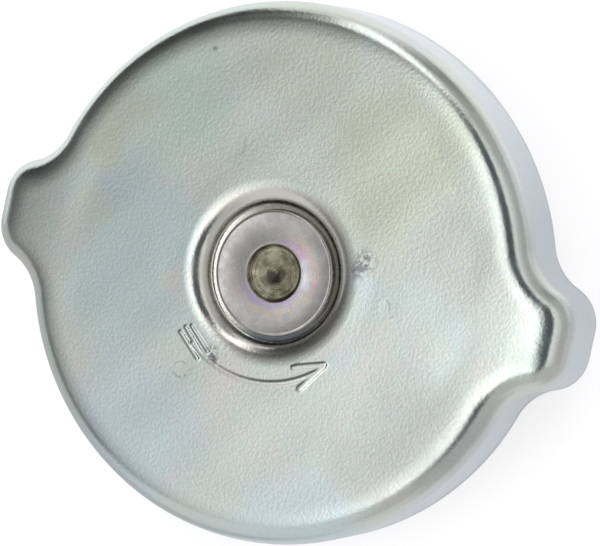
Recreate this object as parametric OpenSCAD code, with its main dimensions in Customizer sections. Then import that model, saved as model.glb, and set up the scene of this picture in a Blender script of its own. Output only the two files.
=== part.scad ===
// Bayonet radiator cap with a pressure valve and a vacuum valve.
// Millimetres, +Z up. The cap stands on its pressure seal at z = 0, and the ears lie along X.

/* [Cover] */
// Radius of the round part of the cover
cover_r = 40; // [36:0.5:46]
// Centre of the cap to the flat end of an ear
ear_reach = 46.6; // [44:0.1:52]
// Width of the flat end of an ear
ear_flat_w = 4.1; // [2:0.1:8]
// Radius of the two corners of an ear's flat top, inside its shoulder
ear_crest_r = 2.15; // [0.2:0.05:3]
// Radius of the hollow that runs from an ear into the round part
ear_hollow_r = 8.3; // [6:0.1:12]
// Sheet thickness of the cover
cover_sheet = 1.2; // [0.8:0.1:1.6]
// Outer radius of the shoulder between the face and the skirt
shoulder_r = 3.7; // [3:0.1:5]
// Height from the skirt's lower edge to the face
skirt_depth = 13; // [11:0.5:16]

/* [Dimple] */
// Radius at which the face turns down into the dimple
dimple_r = 12.3; // [11.5:0.05:14]
// Depth of the dimple below the face
dimple_depth = 2.5; // [2.2:0.1:3]
// Slope of the dimple's wall
dimple_slope = 68; // [45:1:70]
// Bend radius where the face turns down into the dimple
dimple_rim_r = 2; // [1.4:0.1:2.4]
// Bend radius where the wall meets the dimple's floor
dimple_foot_r = 0.3; // [0.2:0.1:0.8]

/* [Rivet] */
// Radius of the rivet's shank
shank_r = 6.5; // [5:0.1:7.2]
// Gap between the rolled head and the bend at the dimple's foot
rolled_head_gap = 0.4; // [0.1:0.05:1]
// Height of the rolled head at the rim of its recess
rolled_head_h = 0.8; // [0.6:0.05:1.4]
// Fall of the rolled head from its recess to its edge
rolled_head_fall = 0.25; // [0.1:0.05:0.5]
// Radius of the recess in the rolled head
recess_r = 4.35; // [3:0.05:4.6]
// Depth of the recess
recess_depth = 1.9; // [1:0.1:6]
// Radius of the head at the rivet's lower end
lower_head_r = 8.5; // [8:0.1:10]
// Thickness of the lower head
lower_head_h = 2; // [1.2:0.1:2.4]
// Gap round the shank and at both faces of the dimple's floor, so that the cover turns
pivot_gap = 0.05; // [0.02:0.01:0.1]

/* [Bayonet cup] */
// Sheet thickness of the bayonet cup
bayonet_sheet = 1.2; // [0.8:0.1:1.6]
// Gap between the bayonet cup and the cover's skirt
bayonet_gap = 0.2; // [0.1:0.05:0.5]
// Radius of the hole in the bayonet cup's top
bayonet_hole_r = 15; // [14.6:0.1:16]
// Inward reach of a lug from the bayonet cup's outer wall
lug_reach = 4.4; // [3.6:0.1:5.6]
// Outer radius of the bend above a lug
lug_bend_r = 2; // [1.8:0.1:2.4]
// Angle that a lug spans
lug_angle = 52; // [40:1:70]
// Radius of the circle on which the spot welds lie
weld_circle_r = 19.3; // [18.5:0.1:24]
// Radius of the pit that a welding electrode leaves
weld_pit_r = 2; // [1:0.1:2.5]
// Depth of a weld pit
weld_pit_depth = 0.25; // [0.1:0.05:0.4]
// Number of spot welds
weld_count = 3; // [3:1:6]
// Turn of the first spot weld from +X
weld_turn = -2; // [-60:1:60]

/* [Valve stack] */
// Outer radius of the thrust washer
thrust_washer_r = 10; // [9:0.1:10.6]
// Thickness of the thrust washer
thrust_washer_t = 1.5; // [0.6:0.1:2]
// Gap between the spring plate's rim and the bayonet cup's wall
spring_plate_gap = 1.2; // [0.8:0.1:4.4]
// Sheet thickness of the spring plate
spring_plate_t = 0.8; // [0.6:0.1:1]
// Length of the spring plate's turned-down rim
spring_plate_rim = 1.8; // [1.6:0.1:2.2]
// Outer bend radius of the spring plate's rim
spring_plate_bend_r = 1.4; // [1.2:0.1:1.6]
// Radius of the ridge pressed into the spring plate
ridge_circle_r = 25; // [22:0.5:28]
// Height of the ridge
ridge_h = 1; // [0.6:0.1:1.2]
// Half width of the ridge
ridge_half_w = 2.4; // [2:0.1:3]
// Thickness of the upper gasket
gasket_t = 2; // [1.9:0.1:3]
// Gap between the upper gasket and the spring plate's rim
gasket_gap = 0.3; // [0.2:0.05:0.5]
// Gap of each washer and plate round the rivet's shank
stack_gap = 0.1; // [0.05:0.05:0.3]

/* [Spring housing] */
// Sheet thickness of the spring housing
housing_sheet = 1; // [0.8:0.1:1.2]
// Height of the spring housing
housing_h = 10; // [9:0.5:14]
// Outer radius of the housing's upper corner
housing_corner_r = 2.4; // [1.8:0.1:3]
// Inward reach of the housing's crimped lower lip from its outer wall
housing_lip_reach = 2.5; // [2.3:0.1:2.9]
// Outer bend radius of the housing's crimped lower lip
housing_lip_bend_r = 1.4; // [1.3:0.1:1.5]
// Radius of a window in the housing's wall
window_r = 2.6; // [1.5:0.1:3]
// Number of windows
window_count = 4; // [2:1:8]
// Outer radius of the washer under the rivet's lower head
housing_washer_r = 11; // [10:0.1:12]
// Thickness of that washer
housing_washer_t = 0.8; // [0.6:0.1:1.2]

/* [Pressure valve] */
// Outer radius of the pressure seal
seal_r = 24; // [23:0.1:26]
// Thickness of the pressure seal
seal_t = 3; // [2.8:0.1:4]
// Height of the sealing edge below the backing plate's rim
seal_edge_h = 2; // [1.6:0.1:2.2]
// Width of the sealing edge beyond the backing plate's rim
seal_edge_w = 0.6; // [0.4:0.1:1.2]
// Sheet thickness of the backing plate
backing_t = 1; // [0.8:0.1:1.2]
// Outer bend radius of the backing plate's rim
backing_bend_r = 1.6; // [1.4:0.1:1.8]
// Sheet thickness of the valve cup
cup_sheet = 0.8; // [0.6:0.1:1]
// Height of the valve cup
cup_h = 9.4; // [8:0.1:11]
// Bend radius inside the valve cup's corners
cup_bend_r = 0.8; // [0.5:0.1:1]
// Gap between the edge of the cup's lip and the housing's wall
cup_lip_gap = 0.3; // [0.2:0.1:0.7]
// Gap round the cup inside the housing's lip
cup_gap = 0.3; // [0.2:0.05:0.4]
// Gap at rest between two valve faces that close on each other
seat_gap = 0.05; // [0.02:0.01:0.1]
// Gap between the pressure spring and the valve cup's wall
spring_gap = 1.2; // [0.8:0.1:1.8]
// Wire diameter of the pressure spring
spring_wire = 2; // [1.4:0.1:2.2]
// Working turns of the pressure spring, between one closed turn at each end
spring_turns = 3; // [2:0.5:4]

/* [Seal retainer] */
// Gap between the eyelet's upper flange and the pressure spring
eyelet_roll_gap = 0.9; // [0.5:0.1:1.9]
// Sheet thickness of the eyelet
eyelet_sheet = 0.8; // [0.6:0.1:1]
// Width of the eyelet's lower flange beyond its tube
eyelet_flange_w = 4; // [3:0.1:5]
// Width of the eyelet's upper rolled flange beyond its tube
eyelet_roll_w = 1.3; // [0.8:0.1:1.5]
// Height of the lower flange above the seal's lower face
eyelet_recess = 0.6; // [0.4:0.1:1]
// Gap of the eyelet in the pieces that it clamps
eyelet_gap = 0.1; // [0.05:0.05:0.2]
// Radius of a vent in the vacuum seat
vent_r = 0.9; // [0.5:0.1:1.1]
// Radius of the circle of vents
vent_circle_r = 3.5; // [3:0.1:3.6]
// Number of vents
vent_count = 6; // [3:1:8]

/* [Vacuum valve] */
// Gap between the vacuum disc and the eyelet's tube
disc_gap = 1.6; // [1.2:0.1:2.2]
// Thickness of the vacuum disc
disc_t = 0.8; // [0.6:0.1:1]
// Width of the seat between the vents and the vacuum seal
vent_land = 0.6; // [0.4:0.1:1]
// Width of the vacuum seal's ring
vacuum_seal_w = 2.8; // [2:0.1:3.4]
// Width of the vacuum disc beyond its seal
vacuum_seal_inset = 0.8; // [0.6:0.1:1.6]
// Thickness of the vacuum seal
vacuum_seal_t = 1.2; // [0.8:0.1:1.4]
// Radius of the vacuum valve's stem
stem_r = 1.5; // [1.2:0.1:1.8]
// Gap of the stem in its guide
stem_gap = 0.1; // [0.05:0.05:0.2]
// Radius of the stem's two heads
stem_head_r = 2.6; // [2.2:0.1:3]
// Thickness of a stem head
stem_head_h = 0.4; // [0.3:0.05:0.5]
// Gap between the vents and the vacuum spring
vacuum_spring_gap = 0.6; // [0.2:0.1:1]
// Wire diameter of the vacuum spring
vacuum_wire = 0.8; // [0.5:0.1:0.9]
// Height of the vacuum spring at rest
vacuum_spring_h = 4.6; // [4.2:0.1:5.5]
// Working turns of the vacuum spring, between one closed turn at each end
vacuum_turns = 2; // [1:0.5:2.5]
// Width of the keeper washer beyond the vacuum spring
keeper_rim = 0.8; // [0.4:0.1:1.7]
// Thickness of the keeper washer
keeper_t = 0.8; // [0.6:0.1:1.2]

/* [Hidden] */
$fn = 96;

// Colours of the pieces
plated_steel = "#a9b3a6";
bright_steel = "#c4c6c4";
spring_steel = "#8d8f90";
rubber_black = "#26282a";
brass_yellow = "#c2a14d";

// Overlap that joins two solids of one piece, and the reach of a cutter past a face
weld = 1;

// Levels of the pressure valve, from the seal's lower face up
seal_top = seal_t;
backing_top = seal_top + backing_t;
cup_floor = backing_top + cup_sheet;
cup_top = backing_top + cup_h;

// Levels of the spring housing, whose lip carries the cup's lip
housing_lip_top = cup_top - cup_sheet - seat_gap;
housing_bottom = housing_lip_top - housing_sheet;
housing_top = housing_bottom + housing_h;
housing_ceiling = housing_top - housing_sheet;

// Radii of the vacuum valve, from the vents out to the disc
vents_r = vent_circle_r + vent_r;
vacuum_seal_in_r = vents_r + vent_land;
vacuum_seal_r = vacuum_seal_in_r + vacuum_seal_w;
disc_r = vacuum_seal_r + vacuum_seal_inset;
vacuum_spring_r = vents_r + vacuum_spring_gap + vacuum_wire / 2;
keeper_r = vacuum_spring_r + vacuum_wire / 2 + keeper_rim;

// Radii round the vacuum valve: the eyelet, the pressure spring, the cup and the housing
eyelet_inner_r = disc_r + disc_gap;
eyelet_r = eyelet_inner_r + eyelet_sheet;
spring_r = eyelet_r + eyelet_roll_w + eyelet_roll_gap + spring_wire / 2;
cup_r = spring_r + spring_wire / 2 + spring_gap + cup_sheet;
housing_lip_in_r = cup_r + cup_gap;
housing_r = housing_lip_in_r + housing_lip_reach;
housing_inner_r = housing_r - housing_sheet;
cup_lip_r = housing_inner_r - cup_lip_gap;

// Levels of the stack between the housing and the cover
gasket_top = housing_top + gasket_t;
spring_plate_top = gasket_top + spring_plate_t;
thrust_top = spring_plate_top + thrust_washer_t;
dimple_under = thrust_top + pivot_gap;
dimple_floor = dimple_under + cover_sheet;
face_z = dimple_floor + dimple_depth;
skirt_z = face_z - skirt_depth;

// Bayonet cup under the face and inside the skirt
bayonet_r = cover_r - cover_sheet - bayonet_gap;
bayonet_top = face_z - cover_sheet;
bayonet_corner_r = shoulder_r - cover_sheet - bayonet_gap;
lug_inner_r = bayonet_r - lug_reach;

// Spring plate inside the bayonet cup, the gasket inside the plate's rim, and the hole that
// every piece of the stack has for the shank
spring_plate_r = bayonet_r - bayonet_sheet - spring_plate_gap;
gasket_r = spring_plate_r - spring_plate_t - gasket_gap;
stack_hole_r = shank_r + stack_gap;

// Radius at which the dimple's floor ends, from the two bends and the straight wall between them
dimple_bends = dimple_rim_r + dimple_foot_r;
dimple_wall_fall = dimple_depth - dimple_bends * (1 - cos(dimple_slope));
dimple_floor_r = dimple_r - dimple_bends * sin(dimple_slope) - dimple_wall_fall / tan(dimple_slope);

// The rivet's lower end
lower_washer_z = housing_ceiling - housing_washer_t;
lower_head_z = lower_washer_z - lower_head_h;
rolled_head_z = dimple_floor + pivot_gap;
rolled_head_top = rolled_head_z + rolled_head_h;
rolled_head_r = dimple_floor_r - rolled_head_gap;

// Vacuum seat inside the eyelet, and the vacuum valve under it
eyelet_hole_r = eyelet_r + eyelet_gap;
web_top = cup_floor;
web_under = web_top - eyelet_sheet;
vacuum_seal_top = web_under - seat_gap;
disc_top = vacuum_seal_top - vacuum_seal_t;
disc_under = disc_top - disc_t;
keeper_under = web_top + vacuum_spring_h;
keeper_top = keeper_under + keeper_t;

// Ear outline: centres of the corner arc and of the hollow arc in the first quadrant.
// The hollow touches the round part and the corner, so its centre is where two circles meet.
ear_corner_r = shoulder_r + ear_crest_r;
corner_c = [ear_reach - ear_corner_r, ear_flat_w / 2];
corner_dist = norm(corner_c);
hollow_to_axis = cover_r + ear_hollow_r;
hollow_to_corner = ear_corner_r + ear_hollow_r;
hollow_along = (hollow_to_axis^2 - hollow_to_corner^2 + corner_dist^2) / (2 * corner_dist);
hollow_aside = sqrt(hollow_to_axis^2 - hollow_along^2);
corner_dir = corner_c / corner_dist;
hollow_c = hollow_along * corner_dir + hollow_aside * [-corner_dir.y, corner_dir.x];
round_start = atan2(hollow_c.y, hollow_c.x);
corner_end = atan2(hollow_c.y - corner_c.y, hollow_c.x - corner_c.x);

// Steps along the arcs of the cover's outline and round its shoulder
corner_steps = 8;
hollow_steps = 6;
round_steps = 20;
shoulder_steps = 6;

// Steps round the two bends of the dimple
rim_steps = 4;
foot_steps = 3;

// Sides of a spring's wire and steps in one of its turns
wire_sides = 8;
turn_steps = 22;

// Points on an arc from angle a to angle b, without the first one if skip is 1
function arc(c, r, a, b, steps, skip = 0) =
    [for (i = [skip:steps]) let (t = a + (b - a) * i / steps) c + r * [cos(t), sin(t)]];

// First quadrant of the cover's outline, moved inwards by d
function quarter_outline(d) = concat(
    arc(corner_c, ear_corner_r - d, 0, corner_end, corner_steps),
    arc(hollow_c, ear_hollow_r + d, corner_end + 180, round_start + 180, hollow_steps, 1),
    arc([0, 0], cover_r - d, round_start, 90, round_steps, 1));

// Whole outline: the quadrant, its mirror image, and both turned by half a turn
function mirrored(points) = concat(points, [for (i = [len(points) - 2:-1:0]) [-points[i].x, points[i].y]]);
function outline(d) = let (half = mirrored(quarter_outline(d))) concat(half, [for (p = half) -p]);

// One ring of the shell: the outline moved inwards by d, at height z
function ring_at(d, z) = [for (p = outline(d)) [p.x, p.y, z]];

// A round ring with one point under each point of the outline
function round_ring(r, z) = [for (p = outline(shoulder_r)) concat(r * p / norm(p), z)];

// Rings round the shoulder of one side of the sheet, from the face to the wall
function shoulder_rings(r) = [for (i = [0:shoulder_steps]) let (t = 90 * i / shoulder_steps)
    ring_at(shoulder_r - r * sin(t), face_z - shoulder_r + r * cos(t))];

// The list turned back to front
function reversed(list) = [for (i = [len(list) - 1:-1:0]) list[i]];

// Faces between rings of the same count; the last ring joins the first if closed is true
function band_faces(rings, count, closed) = [
    for (i = [0:(closed ? rings - 1 : rings - 2)])
        for (j = [0:count - 1])
            let (a = i * count + j, b = i * count + (j + 1) % count)
            let (c = ((i + 1) % rings) * count + (j + 1) % count, d = ((i + 1) % rings) * count + j)
            for (face = [[a, c, b], [a, d, c]]) face];

// Points of every ring in one list
function flattened(rings) = [for (ring = rings) for (p = ring) p];

// Height of a coil's wire at a turn, with one closed turn at each end
function coil_z(u, turns, wire, pitch) =
    u < 1 ? wire * u
    : u < turns + 1 ? wire + pitch * (u - 1)
    : wire + pitch * turns + wire * (u - turns - 1);

// Rectangle of a section, from radius r0 to r1 and height z0 to z1
module strip(r0, r1, z0, z1) {
    translate([r0, z0])
        square([r1 - r0, z1 - z0]);
}

// Quarter bend of a sheet round a centre, in the quadrant that starts at the angle turn
module bend(c, inner_r, sheet, turn) {
    translate(c)
        rotate(turn)
            intersection() {
                difference() {
                    circle(inner_r + sheet);
                    circle(inner_r);
                }
                square(inner_r + sheet);
            }
}

// Flat ring
module washer(r, hole_r, z, t) {
    translate([0, 0, z])
        difference() {
            cylinder(r = r, h = t);
            translate([0, 0, -weld])
                cylinder(r = hole_r, h = t + 2 * weld);
        }
}

// Coil spring of round wire that stands at z and is h high
module coil(r, wire, turns, z, h) {
    pitch = (h - 3 * wire) / turns;
    steps = ceil((turns + 2) * turn_steps);
    rings = [for (i = [0:steps]) let (u = (turns + 2) * i / steps)
        [for (k = [0:wire_sides - 1])
            let (out = r + wire / 2 * cos(360 * k / wire_sides))
            [out * cos(360 * u), out * sin(360 * u),
             z + wire / 2 + coil_z(u, turns, wire, pitch) + wire / 2 * sin(360 * k / wire_sides)]]];
    first_end = [for (k = [0:wire_sides - 1]) k];
    last_end = [for (k = [wire_sides - 1:-1:0]) steps * wire_sides + k];
    polyhedron(flattened(rings), concat([first_end, last_end], band_faces(steps + 1, wire_sides, false)));
}

// Rings round a bend of the dimple, from angle a to angle b of its section
function bend_rings(c, r, a, b, steps) =
    [for (p = arc(c, r, a, b, steps)) round_ring(p.x, p.y)];

// Section of the dimple's sheet carried round the axis, from the face to the rivet's hole.
// The upper side has the bend radii, and the lower side lies one sheet below it.
function dimple_rings(side) =
    let (rim_c = [dimple_r, face_z - dimple_rim_r])
    let (foot_c = [dimple_floor_r, dimple_floor + dimple_foot_r])
    concat(
        bend_rings(rim_c, dimple_rim_r - side, 90, 90 + dimple_slope, rim_steps),
        bend_rings(foot_c, dimple_foot_r + side, dimple_slope - 90, -90, foot_steps),
        [round_ring(shank_r - weld, dimple_floor - side)]);

// Whole sheet as one closed loop of rings: up the inside of the dimple, over the face and
// the shoulder, down the skirt, and back along the lower side
module cover_sheet_body() {
    rings = concat(
        reversed(dimple_rings(0)),
        shoulder_rings(shoulder_r),
        [ring_at(0, skirt_z), ring_at(cover_sheet, skirt_z)],
        reversed(shoulder_rings(shoulder_r - cover_sheet)),
        dimple_rings(cover_sheet));
    polyhedron(flattened(rings), band_faces(len(rings), len(rings[0]), true));
}

module cover() {
    color(plated_steel)
        difference() {
            cover_sheet_body();
            translate([0, 0, dimple_under - weld])
                cylinder(r = shank_r + pivot_gap, h = cover_sheet + 2 * weld);
        }
}

// Wedge that takes the lower flange away between the two lugs
module lug_gap() {
    reach = 2 * bayonet_r;
    half = 90 - lug_angle / 2;
    translate([0, 0, skirt_z - weld])
        linear_extrude(lug_bend_r + weld)
            polygon([[0, 0], reach * [cos(half), -sin(half)], [reach, -reach], [reach, reach],
                     reach * [cos(half), sin(half)]]);
}

module bayonet_cup() {
    corner = [bayonet_r - bayonet_corner_r, bayonet_top - bayonet_corner_r];
    lug_c = [bayonet_r - lug_bend_r, skirt_z + lug_bend_r];
    color(plated_steel)
        difference() {
            rotate_extrude() {
                strip(bayonet_hole_r, corner.x, bayonet_top - bayonet_sheet, bayonet_top);
                bend(corner, bayonet_corner_r - bayonet_sheet, bayonet_sheet, 0);
                strip(bayonet_r - bayonet_sheet, bayonet_r, lug_c.y, corner.y);
                bend(lug_c, lug_bend_r - bayonet_sheet, bayonet_sheet, 270);
                strip(lug_inner_r, lug_c.x, skirt_z, skirt_z + bayonet_sheet);
            }
            for (turn = [0, 180])
                rotate(turn)
                    lug_gap();
            for (i = [0:weld_count - 1])
                rotate(weld_turn + 360 / weld_count * i)
                    translate([weld_circle_r, 0, bayonet_top - bayonet_sheet - weld])
                        cylinder(r = weld_pit_r, h = weld_pit_depth + weld);
        }
}

// Section of the rolled head: the part of a large circle above the dimple's floor
module rolled_head_section() {
    run = rolled_head_r - recess_r;
    crown_r = (run^2 + rolled_head_fall^2) / (2 * rolled_head_fall);
    intersection() {
        translate([recess_r, rolled_head_top - crown_r])
            circle(crown_r, $fn = 360);
        strip(recess_r, rolled_head_r, rolled_head_z, rolled_head_top + weld);
    }
}

module rivet_stem() {
    recess_z = rolled_head_top - recess_depth;
    color(bright_steel)
        rotate_extrude() {
            rolled_head_section();
            strip(recess_r, shank_r, recess_z, rolled_head_z + rolled_head_h / 2);
            strip(0, shank_r, lower_washer_z, recess_z);
            strip(0, lower_head_r, lower_head_z, lower_washer_z);
        }
}

module thrust_washer() {
    color(bright_steel)
        washer(thrust_washer_r, stack_hole_r, spring_plate_top, thrust_washer_t);
}

module spring_plate() {
    rim_c = [spring_plate_r - spring_plate_bend_r, spring_plate_top - spring_plate_bend_r];
    ridge_crown_r = (ridge_half_w^2 + ridge_h^2) / (2 * ridge_h);
    ridge_c = [ridge_circle_r, spring_plate_top + ridge_h - ridge_crown_r];
    color(spring_steel)
        rotate_extrude() {
            difference() {
                union() {
                    strip(stack_hole_r, rim_c.x, gasket_top, spring_plate_top);
                    intersection() {
                        translate(ridge_c)
                            circle(ridge_crown_r);
                        strip(0, spring_plate_r, gasket_top, face_z);
                    }
                }
                translate(ridge_c)
                    circle(ridge_crown_r - spring_plate_t);
            }
            bend(rim_c, spring_plate_bend_r - spring_plate_t, spring_plate_t, 0);
            strip(spring_plate_r - spring_plate_t, spring_plate_r, spring_plate_top - spring_plate_rim, rim_c.y);
        }
}

module top_gasket() {
    color(rubber_black)
        washer(gasket_r, stack_hole_r, housing_top, gasket_t);
}

module spring_housing() {
    corner = [housing_r - housing_corner_r, housing_top - housing_corner_r];
    lip_c = [housing_r - housing_lip_bend_r, housing_bottom + housing_lip_bend_r];
    color(bright_steel)
        difference() {
            rotate_extrude() {
                strip(stack_hole_r, corner.x, housing_ceiling, housing_top);
                bend(corner, housing_corner_r - housing_sheet, housing_sheet, 0);
                strip(housing_inner_r, housing_r, lip_c.y, corner.y);
                bend(lip_c, housing_lip_bend_r - housing_sheet, housing_sheet, 270);
                strip(housing_lip_in_r, lip_c.x, housing_bottom, housing_lip_top);
            }
            for (i = [0:window_count - 1])
                rotate(360 / window_count * (i + 0.5))
                    translate([housing_inner_r - weld, 0, (lip_c.y + corner.y) / 2])
                        rotate([0, 90, 0])
                            cylinder(r = window_r, h = housing_sheet + 2 * weld);
        }
}

module housing_washer() {
    color(bright_steel)
        washer(housing_washer_r, stack_hole_r, lower_washer_z, housing_washer_t);
}

module pressure_spring() {
    color(spring_steel)
        coil(spring_r, spring_wire, spring_turns, cup_floor + seat_gap, housing_ceiling - cup_floor - 2 * seat_gap);
}

module valve_cup() {
    wall_in_r = cup_r - cup_sheet;
    foot_c = [wall_in_r - cup_bend_r, cup_floor + cup_bend_r];
    color(bright_steel)
        rotate_extrude() {
            strip(eyelet_hole_r, foot_c.x, backing_top, cup_floor);
            bend(foot_c, cup_bend_r, cup_sheet, 270);
            strip(wall_in_r, cup_r, foot_c.y, cup_top - cup_sheet);
            strip(wall_in_r, cup_lip_r, cup_top - cup_sheet, cup_top);
        }
}

module backing_plate() {
    plate_r = seal_r - seal_edge_w;
    rim_c = [plate_r - backing_bend_r, backing_top - backing_bend_r];
    color(bright_steel)
        rotate_extrude() {
            strip(eyelet_hole_r, rim_c.x, seal_top, backing_top);
            bend(rim_c, backing_bend_r - backing_t, backing_t, 0);
            strip(plate_r - backing_t, plate_r, seal_edge_h, rim_c.y);
        }
}

module pressure_seal() {
    plate_in_r = seal_r - seal_edge_w - backing_t;
    flange_r = eyelet_r + eyelet_flange_w + eyelet_gap;
    color(rubber_black)
        rotate_extrude()
            difference() {
                union() {
                    strip(eyelet_hole_r, seal_r, 0, seal_edge_h);
                    strip(eyelet_hole_r, plate_in_r - (backing_bend_r - backing_t), 0, seal_top);
                    strip(eyelet_hole_r, plate_in_r, 0, backing_top - backing_bend_r);
                }
                strip(0, flange_r, -weld, eyelet_recess + eyelet_sheet);
            }
}

module seal_retainer() {
    roll_top = cup_floor + eyelet_sheet;
    color(bright_steel)
        difference() {
            rotate_extrude() {
                strip(eyelet_inner_r, eyelet_r + eyelet_flange_w, eyelet_recess, eyelet_recess + eyelet_sheet);
                strip(eyelet_inner_r, eyelet_r, eyelet_recess, roll_top);
                strip(eyelet_inner_r, eyelet_r + eyelet_roll_w, cup_floor, roll_top);
                strip(stem_r + stem_gap, eyelet_r, web_under, web_top);
            }
            for (i = [0:vent_count - 1])
                rotate(360 / vent_count * i)
                    translate([vent_circle_r, 0, web_under - weld])
                        cylinder(r = vent_r, h = eyelet_sheet + 2 * weld);
        }
}

module vacuum_disc() {
    color(brass_yellow)
        washer(disc_r, stem_r, disc_under, disc_t);
}

module vacuum_seal() {
    color(rubber_black)
        washer(vacuum_seal_r, vacuum_seal_in_r, disc_top, vacuum_seal_t);
}

module vacuum_stem() {
    color(brass_yellow)
        rotate_extrude() {
            strip(0, stem_head_r, disc_under - stem_head_h, disc_under);
            strip(0, stem_r, disc_under, keeper_top);
            strip(0, stem_head_r, keeper_top, keeper_top + stem_head_h);
        }
}

module vacuum_spring() {
    color(spring_steel)
        coil(vacuum_spring_r, vacuum_wire, vacuum_turns, web_top + seat_gap, vacuum_spring_h - 2 * seat_gap);
}

module spring_keeper() {
    color(brass_yellow)
        washer(keeper_r, stem_r, keeper_under, keeper_t);
}

cover();
bayonet_cup();
rivet_stem();
thrust_washer();
spring_plate();
top_gasket();
spring_housing();
housing_washer();
pressure_spring();
valve_cup();
backing_plate();
pressure_seal();
seal_retainer();
vacuum_disc();
vacuum_seal();
vacuum_stem();
vacuum_spring();
spring_keeper();
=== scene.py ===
"""Bayonet radiator cap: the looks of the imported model, in metres, in the model's own frame.

The cover, the rivet, the springs and the turned and pressed pieces of the valve are built here as
finished meshes that stand for their plain solids. Sizes in the classes are in millimetres and angles
in degrees, apart from the studio and its tent, which are in metres.
"""

from __future__ import annotations

import logging
import math
from dataclasses import dataclass, field
from enum import Enum
from typing import Any, Sequence, Union

import bpy
import numpy as np
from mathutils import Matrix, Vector

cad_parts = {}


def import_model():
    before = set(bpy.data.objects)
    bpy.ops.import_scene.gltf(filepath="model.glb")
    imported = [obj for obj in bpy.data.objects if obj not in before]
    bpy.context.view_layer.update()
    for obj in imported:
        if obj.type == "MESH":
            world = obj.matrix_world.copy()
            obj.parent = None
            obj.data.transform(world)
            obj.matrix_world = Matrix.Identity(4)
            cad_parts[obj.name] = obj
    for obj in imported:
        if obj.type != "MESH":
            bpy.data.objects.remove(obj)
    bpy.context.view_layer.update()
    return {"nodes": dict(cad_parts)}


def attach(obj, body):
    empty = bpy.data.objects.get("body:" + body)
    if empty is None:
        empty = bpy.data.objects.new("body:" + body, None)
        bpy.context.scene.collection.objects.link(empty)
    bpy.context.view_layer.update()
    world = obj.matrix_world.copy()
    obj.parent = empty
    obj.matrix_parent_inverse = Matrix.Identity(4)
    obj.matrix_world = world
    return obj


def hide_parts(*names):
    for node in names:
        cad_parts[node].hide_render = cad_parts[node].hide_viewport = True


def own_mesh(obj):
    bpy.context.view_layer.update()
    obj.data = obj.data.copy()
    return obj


MM = 0.001
DEGREES = 180.0 / math.pi
LOG = logging.getLogger("radiator_cap")

Colour = tuple[float, float, float]
Point2 = tuple[float, float]
Point3 = tuple[float, float, float]
# Two ends of a range, and the two values that they are mapped to
Span = tuple[float, float, float, float]
Faces = list[tuple[int, ...]]
Socket = bpy.types.NodeSocket
Value = Union[float, Socket]

WHITE: Colour = (1.0, 1.0, 1.0)


class Body(Enum):
    """Rigid bodies of the cap."""

    COVER = "cover"
    VALVE_BODY = "valve_body"
    PRESSURE_VALVE = "pressure_valve"
    VACUUM_VALVE = "vacuum_valve"


class Slot(Enum):
    """Material slots of the record."""

    PLATED_SHEET = "plated_sheet"
    RIVET_STEEL = "rivet_steel"
    BRIGHT_SHEET = "bright_sheet"
    SPRING_WIRE = "spring_wire"
    RUBBER = "rubber"
    BRASS = "brass"


class HoleAxis(Enum):
    """Direction in which a ring of holes is cut."""

    RADIAL = "radial"
    AXIAL = "axial"


def smoothstep(low: float, high: float, x: np.ndarray) -> np.ndarray:
    """Smooth rise of the values x, from 0 at low to 1 at high."""
    t = np.clip((x - low) / (high - low), 0.0, 1.0)
    return t * t * (3.0 - 2.0 * t)


class MeshMaker:
    """Turns rings of points into closed meshes whose faces point outwards."""

    @staticmethod
    def link(name: str, mesh: bpy.types.Mesh) -> bpy.types.Object:
        """Put a mesh in the scene.

        Args:
            name: Name of the object.
            mesh: Its mesh.

        Returns:
            The new object, at the origin.
        """
        obj = bpy.data.objects.new(name, mesh)
        bpy.context.scene.collection.objects.link(obj)
        return obj

    @staticmethod
    def build(name: str, points: np.ndarray, faces: Faces) -> bpy.types.Object:
        """Make a smooth-shaded object from points in millimetres.

        Args:
            name: Name of the object and its mesh.
            points: Array of points, in millimetres.
            faces: Vertex numbers of each face.

        Returns:
            The new object, linked to the scene and sitting at the origin.
        """
        mesh = bpy.data.meshes.new(name)
        mesh.from_pydata((points * MM).tolist(), [], faces)
        mesh.update()
        MeshMaker.face_outwards(mesh)
        return MeshMaker.link(name, mesh)

    @staticmethod
    def face_outwards(mesh: bpy.types.Mesh) -> None:
        """Turn a closed mesh's faces outwards, and shade it smooth.

        Args:
            mesh: The mesh.
        """
        if MeshMaker.volume(mesh) < 0.0:
            mesh.flip_normals()
        mesh.shade_smooth()

    @staticmethod
    def volume(mesh: bpy.types.Mesh) -> float:
        """Measure a closed mesh.

        Args:
            mesh: The mesh.

        Returns:
            Its signed volume, which is negative where the faces point inwards.
        """
        mesh.calc_loop_triangles()
        points = np.zeros(len(mesh.vertices) * 3)
        mesh.vertices.foreach_get("co", points)
        corners = np.zeros(len(mesh.loop_triangles) * 3, np.int32)
        mesh.loop_triangles.foreach_get("vertices", corners)
        tri = points.reshape(-1, 3)[corners.reshape(-1, 3)]
        return float(np.einsum("ij,ij->i", tri[:, 0], np.cross(tri[:, 1], tri[:, 2])).sum() / 6.0)

    @staticmethod
    def ring_faces(rings: int, count: int, closed: bool) -> Faces:
        """Quads between rings that all have the same count of points.

        Args:
            rings: Number of rings.
            count: Points in each ring.
            closed: True if the last ring joins the first one.

        Returns:
            The faces as vertex numbers.
        """
        faces = []
        for i in range(rings if closed else rings - 1):
            low = i * count
            high = ((i + 1) % rings) * count
            for j in range(count):
                k = (j + 1) % count
                faces.append((low + j, low + k, high + k, high + j))
        return faces


@dataclass(frozen=True)
class Corner:
    """One corner of a turned section, with the radius that rounds it."""

    r: float
    z: float
    fillet: float = 0.0

    def place(self) -> np.ndarray:
        """The corner as a point of the section."""
        return np.array([self.r, self.z])


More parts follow.
